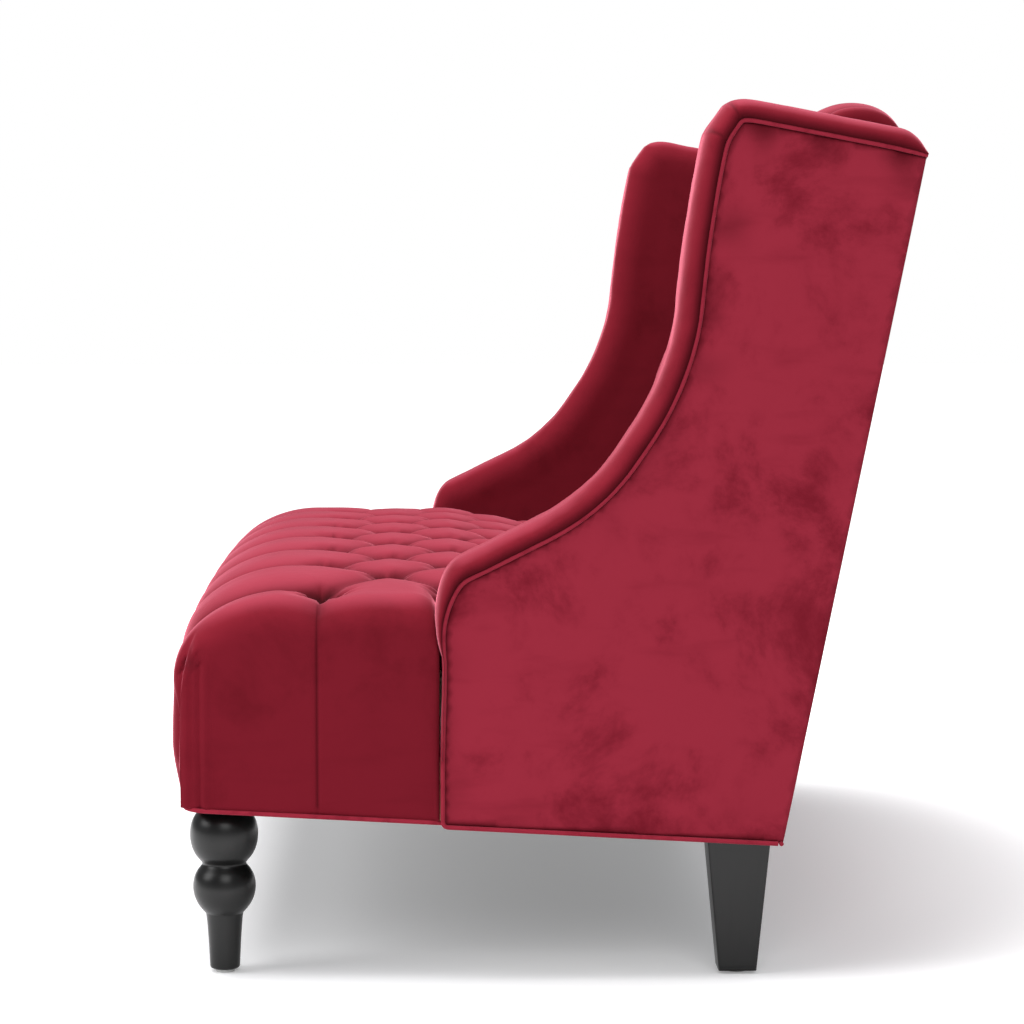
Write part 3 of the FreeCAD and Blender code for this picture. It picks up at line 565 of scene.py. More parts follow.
# %% Frame slopes shared with the CAD
base_front_z = 0.201
base_slope = math.tan(math.radians(3.2))
seat_front_y = -0.427
back_rake = math.tan(math.radians(11.3))
rear_rail_y = 0.27


def base_z(y):
    """Height of the frame's lower edge, which falls to the rear."""
    return base_front_z - (y - seat_front_y) * base_slope


def rear_y(z):
    """Place of the outside back's plane, which leans back."""
    return 0.2702 + (z - 0.160) * back_rake


# %% [markdown]
# ## Seat
# The seat is one T shaped pad. Its front part reaches sideways in front of the arms. Its top is diamond
# tufted, and from the first row of tufts straight pleats run over the rolled front and down. The mesh is a
# grid that follows the roll by angle, so that the points stay evenly spaced where the surface turns. The
# side faces and the front hang from the grid's edge down to the frame.

# %% Seat sizes
seat_side = 0.626
neck_side = 0.5440
ear_rear_y = -0.1236
seat_rear_y = 0.1515
first_row_y = -0.257
seam_y = first_row_y - 0.006
seat_crest_z = 0.466
roll_depth = 0.129
roll_height = 0.100
side_round = 0.042
corner_round = 0.028
pad_lift = 0.1632
step = 0.0046
roll_start_y = seat_front_y + roll_depth

# %% Seat grid lines
def round_sides(lines, side, radius, count):
    """Adds grid lines round both sides: their places, their places on the cover, and how far they drop."""
    places, cover, drops = list(lines), list(lines), [0.0] * len(lines)
    for angle in np.linspace(0.0, 0.5 * np.pi, count)[1:]:
        x = side - radius + radius * math.sin(angle)
        u = side - radius + radius * angle
        drop = radius * (1.0 - math.cos(angle))
        places = [-x] + places + [x]
        cover = [-u] + cover + [u]
        drops = [drop] + drops + [drop]
    return np.array(places), np.array(cover), np.array(drops)


half_lines = spaced(0.0, 0.520, step)[1:] + spaced(0.520, neck_side, 0.0032)[1:]
half_lines += spaced(neck_side, seat_side - side_round, step)[1:]
cross_x, cross_u, cross_drop = round_sides(mirrored(half_lines), seat_side, side_round, 15)

seam_lines = [seam_y + s for s in (-0.003, -0.0012, 0.0, 0.0012, 0.003)]
flat_lines = [y for y in np.linspace(ear_rear_y, roll_start_y, 38) if abs(y - seam_y) > 0.0042]
flat_lines = sorted(flat_lines + seam_lines, reverse=True)
along_y = list(np.linspace(seat_rear_y, ear_rear_y, 62)) + flat_lines[1:]
along_v = [y - first_row_y for y in along_y]
along_drop = [0.0] * len(along_y)
roll_angles = np.linspace(0.0, 0.5 * np.pi, 42)
for before, angle in zip(roll_angles, roll_angles[1:]):
    middle_angle = 0.5 * (before + angle)
    along_y.append(seat_front_y + roll_depth * (1.0 - math.sin(angle)))
    along_drop.append(roll_height * (1.0 - math.cos(angle)))
    stretch = math.hypot(roll_depth * math.cos(middle_angle), roll_height * math.sin(middle_angle))
    along_v.append(along_v[-1] - stretch * (angle - before))
along_y, along_v, along_drop = (np.array(a) for a in (along_y, along_v, along_drop))
print("seat grid", len(cross_x), "by", len(along_y))

# %% Seat pleats and tufts
pleat_end_v = -0.50
seat_row_count = 7
seat_pleat_sink = 0.0125
seat_tuft_sink = 0.0220


def diamond_pleats(layout, step_v, widest):
    """Pleats from each tuft of a row to the two nearest places in the next row."""
    return [((u, v), (u + side * row_pitch, v + step_v)) for row in layout for u, v in row
            for side in (-1.0, 1.0) if abs(u + side * row_pitch) < widest]


def seat_layout():
    """Tufts and pleats of the seat in cover coordinates: u across, v from the first row to the rear."""
    layout = tuft_rows(0.0, row_pitch, seat_row_count)
    first_row = layout[0]
    pleats = [((u, v), (u, pleat_end_v)) for u, v in first_row]
    pleats += diamond_pleats(layout[:-1], row_pitch, 0.53)
    pleats += [((side * 0.525, 0.0), (side * 0.70, -0.006)) for side in (-1.0, 1.0)]
    tufts = [(u * 1.03 if abs(u) > 0.5 and v == 0.0 else u, v) for row in layout for u, v in row]
    return tufts, pleats


seat_tufts, seat_pleats = seat_layout()
print("seat tufts", len(seat_tufts), "pleats", len(seat_pleats))

# %% Seat details
end_tuft_u = 0.545
pucker_y = -0.408
pucker_z = 0.366


def pull_end_tufts(u, v, sink, crease_shade):
    """The two end tufts sit on the side's round, so they pull deeper and gather the cover round them."""
    far = np.hypot(np.abs(u) - end_tuft_u, v)
    fan = np.arctan2(v, np.abs(u) - end_tuft_u)
    folds = np.cos(9.0 * fan + 1.0) + 0.7 * np.cos(14.0 * fan)
    sink = sink + 0.0090 * np.clip(1.0 - far / 0.060, 0.0, 1.0) ** 1.6
    sink = sink + 0.0016 * folds * bell(far - 0.024, 0.013)
    # Painted shade in the end tufts' dimples and between their folds.
    crease_shade = np.maximum(crease_shade, 0.95 * bell(far, 0.013))
    crease_shade = np.maximum(crease_shade, 0.30 * np.clip(folds, 0.0, 1.0) * bell(far - 0.024, 0.012))
    return sink, crease_shade


def round_corner(x, y):
    """Rounds the plan corners at the front by drawing a square corner in to a quarter circle."""
    px = np.abs(x) - (seat_side - corner_round)
    py = (seat_front_y + corner_round) - y
    inside = (px > 0.0) & (py > 0.0)
    longest = np.maximum(px, py)
    scale = np.where(inside, longest / np.maximum(1e-9, np.hypot(px, py)), 1.0)
    new_x = np.sign(x) * (seat_side - corner_round + px * scale)
    new_y = seat_front_y + corner_round - py * scale
    return np.where(inside, new_x, x), np.where(inside, new_y, y)


def pucker_corner(x, y, z, crease_shade):
    """Small folds where the cover is gathered at the front end of each side, with painted shade in them."""
    up, back = z - pucker_z, y - pucker_y
    far = np.hypot(up, back) + 4.0 * np.maximum(0.0, 0.612 - np.abs(x))
    turning = np.arctan2(up, back)
    pucker = np.cos(8.0 * turning + 0.6) + 0.6 * np.cos(13.0 * turning)
    round_it = bell(far - 0.013, 0.009)
    pull = 0.0017 * pucker * round_it + 0.0045 * bell(far, 0.012)
    crease_shade = np.maximum(crease_shade, 0.42 * bell(far, 0.010))
    crease_shade = np.maximum(crease_shade, 0.30 * np.clip(pucker, 0.0, 1.0) * round_it)
    return x - np.sign(x) * pull, crease_shade


# %% Seat surface
def crown_height(x, y):
    """Crest height of the seat's top: lower towards the sides and, behind the arms' fronts, to the rear."""
    falling = 0.022 * smoothstep(-0.13, 0.06, y) + 0.012 * smoothstep(0.03, 0.15, y)
    sideways = 0.009 * (x / 0.45) ** 2 + 0.008 * smoothstep(0.42, 0.60, np.abs(x))
    return seat_crest_z - falling - sideways


def make_seat():
    """The seat's top and roll: points, faces, creases, and the point number of each grid place."""
    grid_x, grid_y = np.meshgrid(cross_x, along_y)
    grid_u, grid_v = np.meshgrid(cross_u, along_v)
    side_drop, front_drop = np.meshgrid(cross_drop, along_drop)
    sink, crease_shade = tuft_sink(grid_u, grid_v, seat_pleats, seat_tufts, seat_pleat_sink, seat_tuft_sink)
    sink, crease_shade = pull_end_tufts(grid_u, grid_v, sink, crease_shade)
    fade = np.clip(1.0 - side_drop / side_round, 0.0, 1.0)
    sink = sink * (0.50 + 0.50 * fade)
    crease_shade = crease_shade * (0.15 + 0.85 * fade ** 1.5)
    stitched = 0.62 * bell(grid_y - seam_y, 0.0016) * smoothstep(0.560, 0.585, np.abs(grid_u))
    crease_shade = np.maximum(crease_shade, stitched)

    beside_neck = np.abs(grid_x) - neck_side
    edge = np.where(grid_y < ear_rear_y, np.hypot(np.minimum(beside_neck, 0.0), ear_rear_y - grid_y),
                    -beside_neck)
    edge = np.maximum(np.minimum(edge, seat_rear_y - grid_y), 0.0)
    height = crown_height(grid_x, grid_y) - side_drop - front_drop - rounded_edge(edge, 0.030)
    turned = np.sin(np.arccos(np.clip(1.0 - front_drop / roll_height, -1.0, 1.0)))
    upright = np.sqrt(np.maximum(0.0, 1.0 - turned ** 2))
    swell = 0.0035 * np.sin(np.pi * np.clip(front_drop / roll_height, 0, 1))
    z = height - sink * upright
    x, y = round_corner(grid_x, grid_y + sink * turned - swell)
    x, crease_shade = pucker_corner(x, y, z, crease_shade)

    rows, columns = x.shape
    index = -np.ones((rows, columns), int)
    keep = (grid_y <= ear_rear_y + 1e-6) | (np.abs(grid_x) <= neck_side + 1e-6)
    index[keep] = np.arange(keep.sum())
    points = np.stack([x[keep], y[keep], z[keep]], axis=1)
    faces = []
    for i in range(rows - 1):
        for j in range(columns - 1):
            corners = (index[i, j], index[i, j + 1], index[i + 1, j + 1], index[i + 1, j])
            if min(corners) >= 0:
                faces.append(corners)
    return points, faces, crease_shade[keep], index


seat_points, seat_faces, seat_crease_shades, seat_index = make_seat()
print("seat top", len(seat_points), "points")

# %% Edge of the seat's top
def seat_edge_loop(index):
    """The outline of the seat's top, once round, as grid places."""
    rows, columns = index.shape
    ear = int(np.argmin(np.abs(along_y - ear_rear_y)))
    left = int(np.argmin(np.abs(cross_x + neck_side)))
    right = int(np.argmin(np.abs(cross_x - neck_side)))
    loop = [(rows - 1, j) for j in range(columns)]
    loop += [(i, columns - 1) for i in range(rows - 2, ear - 1, -1)]
    loop += [(ear, j) for j in range(columns - 2, right - 1, -1)]
    loop += [(i, right) for i in range(ear - 1, -1, -1)]
    loop += [(0, j) for j in range(right - 1, left - 1, -1)]
    loop += [(i, left) for i in range(1, ear + 1)]
    loop += [(ear, j) for j in range(left - 1, -1, -1)]
    loop += [(i, 0) for i in range(ear + 1, rows - 1)]
    return loop


def ring_faces(outer, inner):
    """Quads between two closed rings of point numbers."""
    count = len(outer)
    return [(outer[k], outer[(k + 1) % count], inner[(k + 1) % count], inner[k]) for k in range(count)]


# %% Seat skirts
skirt_rows = 36
skirt_pleat_sink = 0.0105
no_tuft = [(9.0, 9.0)]
hem_side = 0.6145
hem_front = 0.0235


def seat_with_skirts():
    """Hangs the front and side faces from the top, turns under at the hem and closes the inside."""
    loop = seat_edge_loop(seat_index)
    size = len(loop)
    points = [tuple(p) for p in seat_points]
    crease_shades = list(seat_crease_shades)
    faces = list(seat_faces)

    def add_ring(places, ring_crease_shades):
        start = len(points)
        points.extend(tuple(p) for p in places)
        crease_shades.extend(ring_crease_shades)
        return [start + k for k in range(size)]

    ring = [seat_index[place] for place in loop]
    tops = seat_points[ring]
    plan_y, plan_v = (np.array([values[i] for i, j in loop]) for values in (along_y, along_v))
    plan_x, plan_u = (np.array([values[j] for i, j in loop]) for values in (cross_x, cross_u))
    before_arms = plan_y < ear_rear_y - 1e-5
    outer = before_arms | (np.abs(plan_x) > 0.614)
    hem = np.array([base_z(y) for y in tops[:, 1]]) + pad_lift * (1.0 - outer)
    on_front = np.array([i == len(along_y) - 1 for i, j in loop])
    on_side = (np.abs(plan_x) > seat_side - 1e-4) & before_arms
    out = np.zeros((size, 2))
    out[on_front, 1] = -1.0
    out[on_side, 0] = np.sign(plan_x[on_side])
    out[on_front & on_side] /= math.sqrt(2.0)
    off_seam = np.abs(plan_y - seam_y)
    side_tuck = np.where(on_side & ~on_front, 0.35, 1.0)
    for level in range(1, skirt_rows + 1):
        t = level / skirt_rows
        z = tops[:, 2] + (hem - tops[:, 2]) * t
        down = tops[:, 2] - z
        u = np.where(on_side, plan_u + np.sign(plan_x) * down, plan_u)
        v = np.where(on_front, plan_v - down, plan_v)
        sink_front, crease_shade_front = tuft_sink(u, v, seat_pleats, no_tuft, skirt_pleat_sink, 0.0)
        sink_side = 0.0010 * bell(off_seam, 0.0022) + 0.0010 * bell(off_seam, 0.030)
        sink_side += 0.0006 * np.cos(plan_y * 34.0 + 1.2) * np.sin(3.0 * t + plan_y * 9.0)
        crease_shade_side = 0.62 * bell(off_seam, 0.0016) * (t < 0.97)
        sink = np.where(on_front, sink_front, np.where(on_side, sink_side, 0.0))
        crease_shade = np.where(on_front, crease_shade_front, np.where(on_side, crease_shade_side, 0.0))
        body = np.sin(np.pi * np.clip(t * 1.02, 0.0, 1.0)) * 0.0020
        tuck = 0.0085 * smoothstep(0.45, 1.0, np.full(size, t)) * (on_front | on_side)
        shift = body - sink - tuck * side_tuck
        places = np.column_stack([tops[:, :2] + out * shift[:, None], z])
        below = add_ring(places, crease_shade)
        faces += ring_faces(ring, below)
        ring = below
    inset = np.array(points[-size:])
    side_limit = np.where(outer, hem_side, 9.0)
    inset[:, 0] = np.clip(inset[:, 0], -side_limit, side_limit)
    hem_y = seat_front_y + hem_front
    inset[:, 1] = np.where(on_front, hem_y, np.maximum(inset[:, 1], hem_y))
    inner = add_ring(inset, [0.0] * size)
    ceiling = inset.copy()
    ceiling[:, 2] = np.array([base_z(y) for y in inset[:, 1]]) + pad_lift
    roof = add_ring(ceiling, [0.0] * size)
    faces += ring_faces(ring, inner) + ring_faces(inner, roof) + [tuple(roof)]
    return points, faces, np.array(crease_shades)


seat = add_padded("seat_cover", *seat_with_skirts(), velvet_pad, ["seat_cushion"], 0.85)
print("seat", len(seat.data.polygons), "faces")

# %% [markdown]
# ## Inside back
# The inside back leans back and rolls over the frame's top rail. It is the seat's tufting again, on a cover
# that runs up the slope and round a half circle. Only the roll shows from the side, so the roll's own
# profile is a little squarer than a circle, as a stuffed roll is.

# %% Back profile
back_rake_inside = math.radians(17.4)
crest_y = 0.362
crest_z = 0.9475
crest_radius = 0.0605
back_first_row = -0.090
back_bottom_z = 0.401
back_row_count = 8
back_side_round = 0.022
back_pleat_sink = 0.0100
back_tuft_sink = 0.0140


def back_profile():
    """Profile of the back's cover: place y, place z, outward normal y, outward normal z, cover length v."""
    front = Vector((-math.cos(back_rake_inside), math.sin(back_rake_inside)))
    start = Vector((crest_y, crest_z)) + crest_radius * front
    slope = Vector((-math.sin(back_rake_inside), -math.cos(back_rake_inside)))
    length = (start.y - back_bottom_z) / math.cos(back_rake_inside)
    rows = []
    for s in np.linspace(length, 0.0, 118):
        spot = start + slope * s
        hollow = 0.010 * math.sin(math.pi * min(1.0, s / 0.50)) ** 2
        rows.append((spot.x + hollow, spot.y, front.x, front.y, -s))
    turn = math.pi - back_rake_inside
    for t in np.linspace(0.0, 1.0, 47)[1:]:
        angle = turn * t
        direction = Vector((-math.cos(back_rake_inside + angle), math.sin(back_rake_inside + angle)))
        square = 1.0 + 0.035 * math.sin(2.0 * (back_rake_inside + angle)) ** 2
        spot = Vector((crest_y, crest_z)) + crest_radius * square * direction
        rows.append((spot.x, spot.y, direction.x, direction.y, crest_radius * angle))
    return np.array(rows)


profile_rows = back_profile()
print("back profile", len(profile_rows), "rows, top", round(float(profile_rows[:, 1].max()), 4))

# %% Back surface
def back_layout():
    """Tufts and pleats of the back in cover coordinates: v is 0 where the roll starts, below 0 on the slope."""
    layout = tuft_rows(back_first_row, -row_pitch, back_row_count)
    pleats = [((u, v), (u, 0.30)) for u, v in layout[0]] + diamond_pleats(layout, -row_pitch, 0.61)
    return [tuft for row in layout for tuft in row], pleats


def make_back():
    """The back's tufted cover, closed behind by a flat lining."""
    tufts, pleats = back_layout()
    inner = spaced(0.0, neck_side - back_side_round, step)[1:]
    lines, _, drops = round_sides(mirrored(inner), neck_side, back_side_round, 9)
    u, v = np.meshgrid(lines, profile_rows[:, 4])
    side_drop = np.meshgrid(drops, profile_rows[:, 4])[0]
    sink, crease_shade = tuft_sink(u, v, pleats, tufts, back_pleat_sink, back_tuft_sink)
    over = smoothstep(0.10, 0.19, v)
    sink = sink * (1.0 - 0.6 * over) * (1.0 - 0.7 * side_drop / back_side_round)
    total = sink + side_drop * (1.0 - 0.4 * over)
    place_y, place_z, normal_y, normal_z = (profile_rows[:, k][:, None] for k in range(4))
    y = np.maximum(place_y - normal_y * total, seat_rear_y + 0.0015)
    z = place_z - normal_z * total
    points = np.stack([u, y, z], axis=2)
    rows, columns = u.shape
    lining_top = Vector((crest_y, crest_z - 0.0005))
    lean = Vector((-math.sin(back_rake_inside), -math.cos(back_rake_inside)))
    lining_length = (crest_z - back_bottom_z) / math.cos(back_rake_inside)
    lining = np.array([tuple(lining_top + lean * s) for s in np.linspace(0.0, lining_length, 24)])
    rear = np.zeros((len(lining), columns, 3))
    rear[:, :, 0] = lines[None, :]
    rear[:, :, 1:] = lining[:, None, :]
    whole = np.concatenate([points, rear], axis=0)
    count = rows + len(lining)
    faces = grid_faces(count, columns)
    for j in range(columns - 1):
        faces.append(((count - 1) * columns + j, (count - 1) * columns + j + 1, j + 1, j))
    faces.append(tuple(i * columns for i in range(count)))
    faces.append(tuple(i * columns + columns - 1 for i in reversed(range(count))))
    crease_shades = np.concatenate([crease_shade * (1.0 - over), np.zeros((len(lining), columns))], axis=0)
    return whole.reshape(-1, 3), faces, crease_shades.reshape(-1)


inside_back = add_padded("inside_back_cover", *make_back(), velvet_pad, ["back_cushion"], 0.85)
print("inside back", len(inside_back.data.polygons), "faces")

# %% [markdown]
# ## Outline of an arm and wing
# Seen from the side, one line runs up the arm's front, along the arm, up the scoop and over the wing. The
# padded border, the piping and the flat outside panel all follow it, so it is worked out once, as arcs and
# straight stretches sampled every few millimetres, with the share of the border's width at each point.

# %% Outline
border_width = 0.025
outline_stretches = [
    (-0.1225, 0.256, 0.0, 0.10), (-0.1195, 0.371, 0.0, 0.10), (-0.1220, 0.456, 0.008, 0.75),
    (-0.0960, 0.488, 0.005, 1.0), (-0.0180, 0.527, 0.0, 1.0), (0.0880, 0.621, -0.011, 1.0),
    (0.1470, 0.761, -0.009, 1.0), (0.1770, 0.967, 0.0035, 1.0), (0.2020, 1.002, 0.0, 1.0),
    (0.2410, 1.003, 0.003, 1.0), (0.3940, 0.974, 0.0, 1.0), (rear_y(0.946), 0.946, 0.007, 0.20)]
route_step = 0.0040


def ease(line, times):
    """Softens the corners of a line of points in place, and keeps its ends."""
    for _ in range(times):
        line[1:-1] = 0.5 * line[1:-1] + 0.25 * (line[:-2] + line[2:])
    return line


def outline_route():
    """Points (y, z) and border shares along the crest, evenly spaced, with the corners eased."""
    places = []
    y0, z0, _, share0 = outline_stretches[0]
    for y1, z1, bulge, share1 in outline_stretches[1:]:
        chord = math.hypot(y1 - y0, z1 - z0)
        side_y, side_z = -(z1 - z0) / chord, (y1 - y0) / chord
        for t in np.linspace(0.0, 1.0, max(4, int(chord / 0.002)), endpoint=False):
            lift = 4.0 * bulge * t * (1.0 - t)
            places.append((y0 + (y1 - y0) * t + side_y * lift, z0 + (z1 - z0) * t + side_z * lift,
                           share0 + (share1 - share0) * t))
        y0, z0, share0 = y1, z1, share1
    places.append((y0, z0, share0))
    eased = ease(np.array(places), 10)
    length = np.concatenate([[0.0], np.cumsum(np.hypot(*np.diff(eased[:, :2], axis=0).T))])
    wanted = np.linspace(0.0, length[-1], int(length[-1] / route_step) + 1)
    return np.stack([np.interp(wanted, length, eased[:, k]) for k in range(3)], axis=1), wanted


def unit(vectors):
    return vectors / np.hypot(vectors[:, 0], vectors[:, 1])[:, None]


route, route_length = outline_route()
crest, share = route[:, :2], route[:, 2]
tangent = unit(np.gradient(crest, axis=0))
inward = np.stack([tangent[:, 1], -tangent[:, 0]], axis=1)
print("outline", len(route), "points", round(float(route_length[-1]), 3), "m")

# %% Seam under the piping
piping_end = np.array([0.4262, 0.9408])
straight_from_y = 0.388
top_from_y = 0.30


def inset_route(depth):
    """The outline moved inward by depth, one value or one for each point."""
    return crest + inward * np.asarray(depth).reshape(-1, 1)


def seam_route():
    """Where the piping runs: a border's width inside the outline, and straight on to the rear at its end."""
    line = inset_route(border_width * share)
    turn = int(np.argmax(crest[:, 0] > straight_from_y))
    reach = np.linspace(0.0, 1.0, len(line) - turn)[:, None]
    line[turn:] = line[turn] + (piping_end - line[turn]) * reach
    return ease(line, 22)


seam = seam_route()
across = seam - crest
across_length = np.maximum(1e-6, np.hypot(across[:, 0], across[:, 1]))
to_seam = np.clip((share - 0.5) / 0.3, 0.0, 1.0)[:, None]
to_seam[crest[:, 0] > top_from_y] = 1.0
inward = unit(inward * (1.0 - to_seam) + to_seam * across / across_length[:, None])
border_widths = np.where(crest[:, 0] > top_from_y, across_length, border_width * share)
print("border", round(float(border_widths.max()) * 1000.0, 1), "mm at its widest")

# %% Filling an outline
def segments_of(outline, closed=True):
    after = np.roll(outline, -1, axis=0) if closed else outline[1:]
    return zip(outline, after)


def edge_distance(points, outline, closed=True):
    """Distance of each (y, z) point to an outline."""
    near = np.full(len(points), 1e3)
    for (ay, az), (by, bz) in segments_of(outline, closed):
        length = (by - ay) ** 2 + (bz - az) ** 2 + 1e-12
        t = np.clip(((points[:, 0] - ay) * (by - ay) + (points[:, 1] - az) * (bz - az)) / length, 0.0, 1.0)
        near = np.minimum(near, np.hypot(points[:, 0] - ay - t * (by - ay), points[:, 1] - az - t * (bz - az)))
    return near


def filled(outline, spacing, margin):
    """Triangles that fill a closed (y, z) outline, with an even grid of points inside."""
    count = len(outline)
    low, high = outline.min(axis=0), outline.max(axis=0)
    gy, gz = np.meshgrid(np.arange(low[0] + spacing / 2.0, high[0], spacing),
                         np.arange(low[1] + spacing / 2.0, high[1], spacing))
    gy[1::2] += spacing / 2.0
    grid = np.stack([gy.ravel(), gz.ravel()], axis=1)
    inside = np.zeros(len(grid), bool)
    for (ay, az), (by, bz) in segments_of(outline):
        crosses_at = (by - ay) * (grid[:, 1] - az) / (bz - az + 1e-12) + ay
        inside ^= ((az > grid[:, 1]) != (bz > grid[:, 1])) & (grid[:, 0] < crosses_at)
    chosen = grid[inside & (edge_distance(grid, outline) > margin)]
    edges = [(k, (k + 1) % count) for k in range(count)]
    made = delaunay_2d_cdt([Vector(p) for p in outline] + [Vector(p) for p in chosen], edges, [], 1, 1e-7)
    return np.array([tuple(p) for p in made[0]]), [tuple(f) for f in made[2]], count


# %% [markdown]
# ## Padded border and inside of the wings
# The inside cover of a wing is pulled over the front edge, padded there, and tacked under the piping on the
# outside. The border is a band swept along the outline with a rounded section. The inside face is filled
# with an even mesh, so that it can be dented and wrinkled a little.

# %% Border band
inside_x = 0.545
lining_x = 0.5565
tacked_x = 0.6290
frame_depth = 0.0222
face_depth = 0.034
roll_x = 0.6045
roll_out = 0.0345
roll_turn = math.radians(118.0)
# Painted shade on the wing's inside face and on the border's turned-in part.
shaded = 0.34


def border_section(share_here, width):
    """The border's section from the piping over the crest to the inside face: (x, depth) pairs."""
    full = []
    for t in np.linspace(0.0, 1.0, 15):
        angle = roll_turn * (1.0 - t)
        fall = (1.0 - math.cos(angle)) / (1.0 - math.cos(roll_turn))
        full.append((roll_x + roll_out * math.sin(angle), width * fall))
    full += [(0.592, 0.0), (0.580, 0.0003)]
    for t in np.linspace(0.0, 1.0, 11):
        angle = 0.5 * math.pi * t
        full_depth = face_depth * (1.0 - math.cos(angle)) * share_here
        full.append((0.573 - (0.573 - inside_x) * math.sin(angle),
                     full_depth + face_depth * (1.0 - share_here) * t ** 4))
    return full


def route_place(y, z):
    """Number of the outline's point nearest to (y, z)."""
    return int(np.argmin(np.hypot(crest[:, 0] - y, crest[:, 1] - z)))


sections = np.array([border_section(*pair) for pair in zip(share, border_widths)])
band_rows, band_columns = sections.shape[:2]
mitre_places = [route_place(0.180, 0.970), route_place(0.2015, 1.001)]
print("border band", band_rows, "by", band_columns)


def make_band():
    """The padded border: its points in rows along the outline, and its painted crease shade."""
    depth = sections[:, :, 1].copy()
    column = np.arange(band_columns)
    # Painted shade in the valley by the piping and on the part that turns in to the inside face.
    valley = 0.92 * bell(column, 3.2)
    turned_in = shaded * smoothstep(15.0, 27.0, column.astype(float))
    crease_shade = np.maximum(valley, turned_in)[None, :] * np.ones(depth.shape)
    outside = 1.0 - smoothstep(0.35, 0.75, column / band_columns)[None, :]
    for place in mitre_places:
        stitched = bell((route_length - route_length[place])[:, None], 0.0026) * outside
        depth += 0.0013 * stitched * share[:, None]
        crease_shade = np.maximum(crease_shade, 0.55 * stitched)
    band = np.stack([sections[:, :, 0], crest[:, 0][:, None] + inward[:, 0][:, None] * depth,
                     crest[:, 1][:, None] + inward[:, 1][:, None] * depth], axis=2).reshape(-1, 3)
    ripple = 0.0007 * wrinkle(band, 22.0, 3) + 0.0004 * wrinkle(band * [0.3, 1, 1], 70.0, 5)
    band[:, 1:] -= np.repeat(inward, band_columns, axis=0) * ripple[:, None]
    return band, crease_shade.reshape(-1)


# %% Wing pad
pad_foot_lift = 0.0712
rear_gap = 0.0063


def make_wing_pad():
    """The border band, the inside face it runs into, and the lining and hem that close it behind."""
    band, band_crease_shades = make_band()
    inner_line = band.reshape(band_rows, band_columns, 3)[:, -1, 1:]
    foot_y = rear_y(base_z(rear_rail_y) + pad_foot_lift)
    rear_foot = (foot_y - rear_gap, base_z(foot_y) + pad_foot_lift)
    rear_side = np.linspace(inner_line[-1], rear_foot, 150)[1:-1]
    foot_side = np.linspace(rear_foot, inner_line[0], 80)[:-1]
    plan, triangles, ring = filled(np.concatenate([inner_line, rear_side, foot_side]), 0.0075, 0.003)
    away = np.minimum(edge_distance(plan, inner_line, closed=False), 0.2)
    face_x = inside_x + 0.0016 * smoothstep(0.0, 0.03, away) + 0.0008 * wrinkle(np.c_[plan, plan[:, 0]], 9.0, 9)
    face_x[:ring] = inside_x
    tacked = inset_route(np.minimum(frame_depth, 0.6 * border_widths + 0.007))

    layers = [band, np.c_[face_x, plan], np.c_[np.full(len(plan), lining_x), plan],
              np.c_[np.full(band_rows, tacked_x), tacked], np.c_[np.full(band_rows, lining_x), tacked]]
    face, back, hem, hem_back = np.cumsum([len(layer) for layer in layers])[:4]
    # The inside face gets the painted shade all over.
    crease_shades = [band_crease_shades, np.full(len(plan), shaded), np.zeros(len(plan) + 2 * band_rows)]
    faces = grid_faces(band_rows, band_columns)
    faces += [tuple(face + k for k in triangle) for triangle in triangles]
    faces += [tuple(back + k for k in reversed(triangle)) for triangle in triangles]
    for k in range(len(inner_line) - 1, ring):
        n = (k + 1) % ring
        faces.append((face + k, face + n, back + n, back + k))
    for k in range(band_rows - 1):
        first, second = k * band_columns, (k + 1) * band_columns
        faces.append((first, second, hem + k + 1, hem + k))
        faces.append((hem + k, hem + k + 1, hem_back + k + 1, hem_back + k))
        faces.append((hem_back + k, hem_back + k + 1, back + k + 1, back + k))
    for k in (0, band_rows - 1):
        cap = [k * band_columns + j for j in range(band_columns)] + [back + k, hem_back + k, hem + k]
        faces.append(tuple(cap if k else reversed(cap)))
    return np.concatenate(layers), faces, np.concatenate(crease_shades)


both_sides = (("_right", 1.0), ("_left", -1.0))


def add_pair(name, made, material, replaced, fill):
    """A padded piece on the right and its mirror image on the left."""
    points, faces, crease_shades = made
    return [add_padded(name + side, points * (sign, 1.0, 1.0), faces, crease_shades, material,
                       [replaced + side], fill) for side, sign in both_sides]


wing_pads = add_pair("wing_pad_cover", make_wing_pad(), velvet_pad, "wing_pad", 0.8)
print("wing pads", len(wing_pads[0].data.polygons), "faces each")

# %% [markdown]
# ## Outside panels
# Flat cloth over thin board, with a little wadding under it. The cloth dips where the piping holds it down
# and is very slightly crowned in the middle, which is what makes the light slide over it. Near the piping,
# in patches and most of all high up, the pile gets painted shade, darkest in the dip beside the piping.

# %% Outside panels
panel_x = 0.635
panel_drop = 0.004
panel_thick = 0.0050
under_piping = 0.0010
rear_points = 190


def panel_outline(grow):
    """Closed outline of an outside panel, and the part of it that piping holds down: all but the rear edge."""
    top = seam + inward * grow
    low_front = base_z(top[0][0]) - panel_drop + grow
    front = np.linspace((top[0][0], low_front), top[0], 24)[:-1]
    rear_foot_y = rear_y(base_z(rear_rail_y) - panel_drop + grow)
    rear_top = np.array([rear_y(top[-1][1]) - 0.0008, top[-1][1]])
    rear_foot = np.array([rear_foot_y - 0.0008, base_z(rear_foot_y) - panel_drop + grow])
    top = top[top[:, 0] < rear_top[0] - 0.001]
    rear = np.linspace(rear_top, rear_foot, rear_points)
    bottom = np.linspace(rear_foot, front[0], 96)[1:-1]
    return np.concatenate([front, top, rear, bottom]), np.concatenate([bottom, front, top])


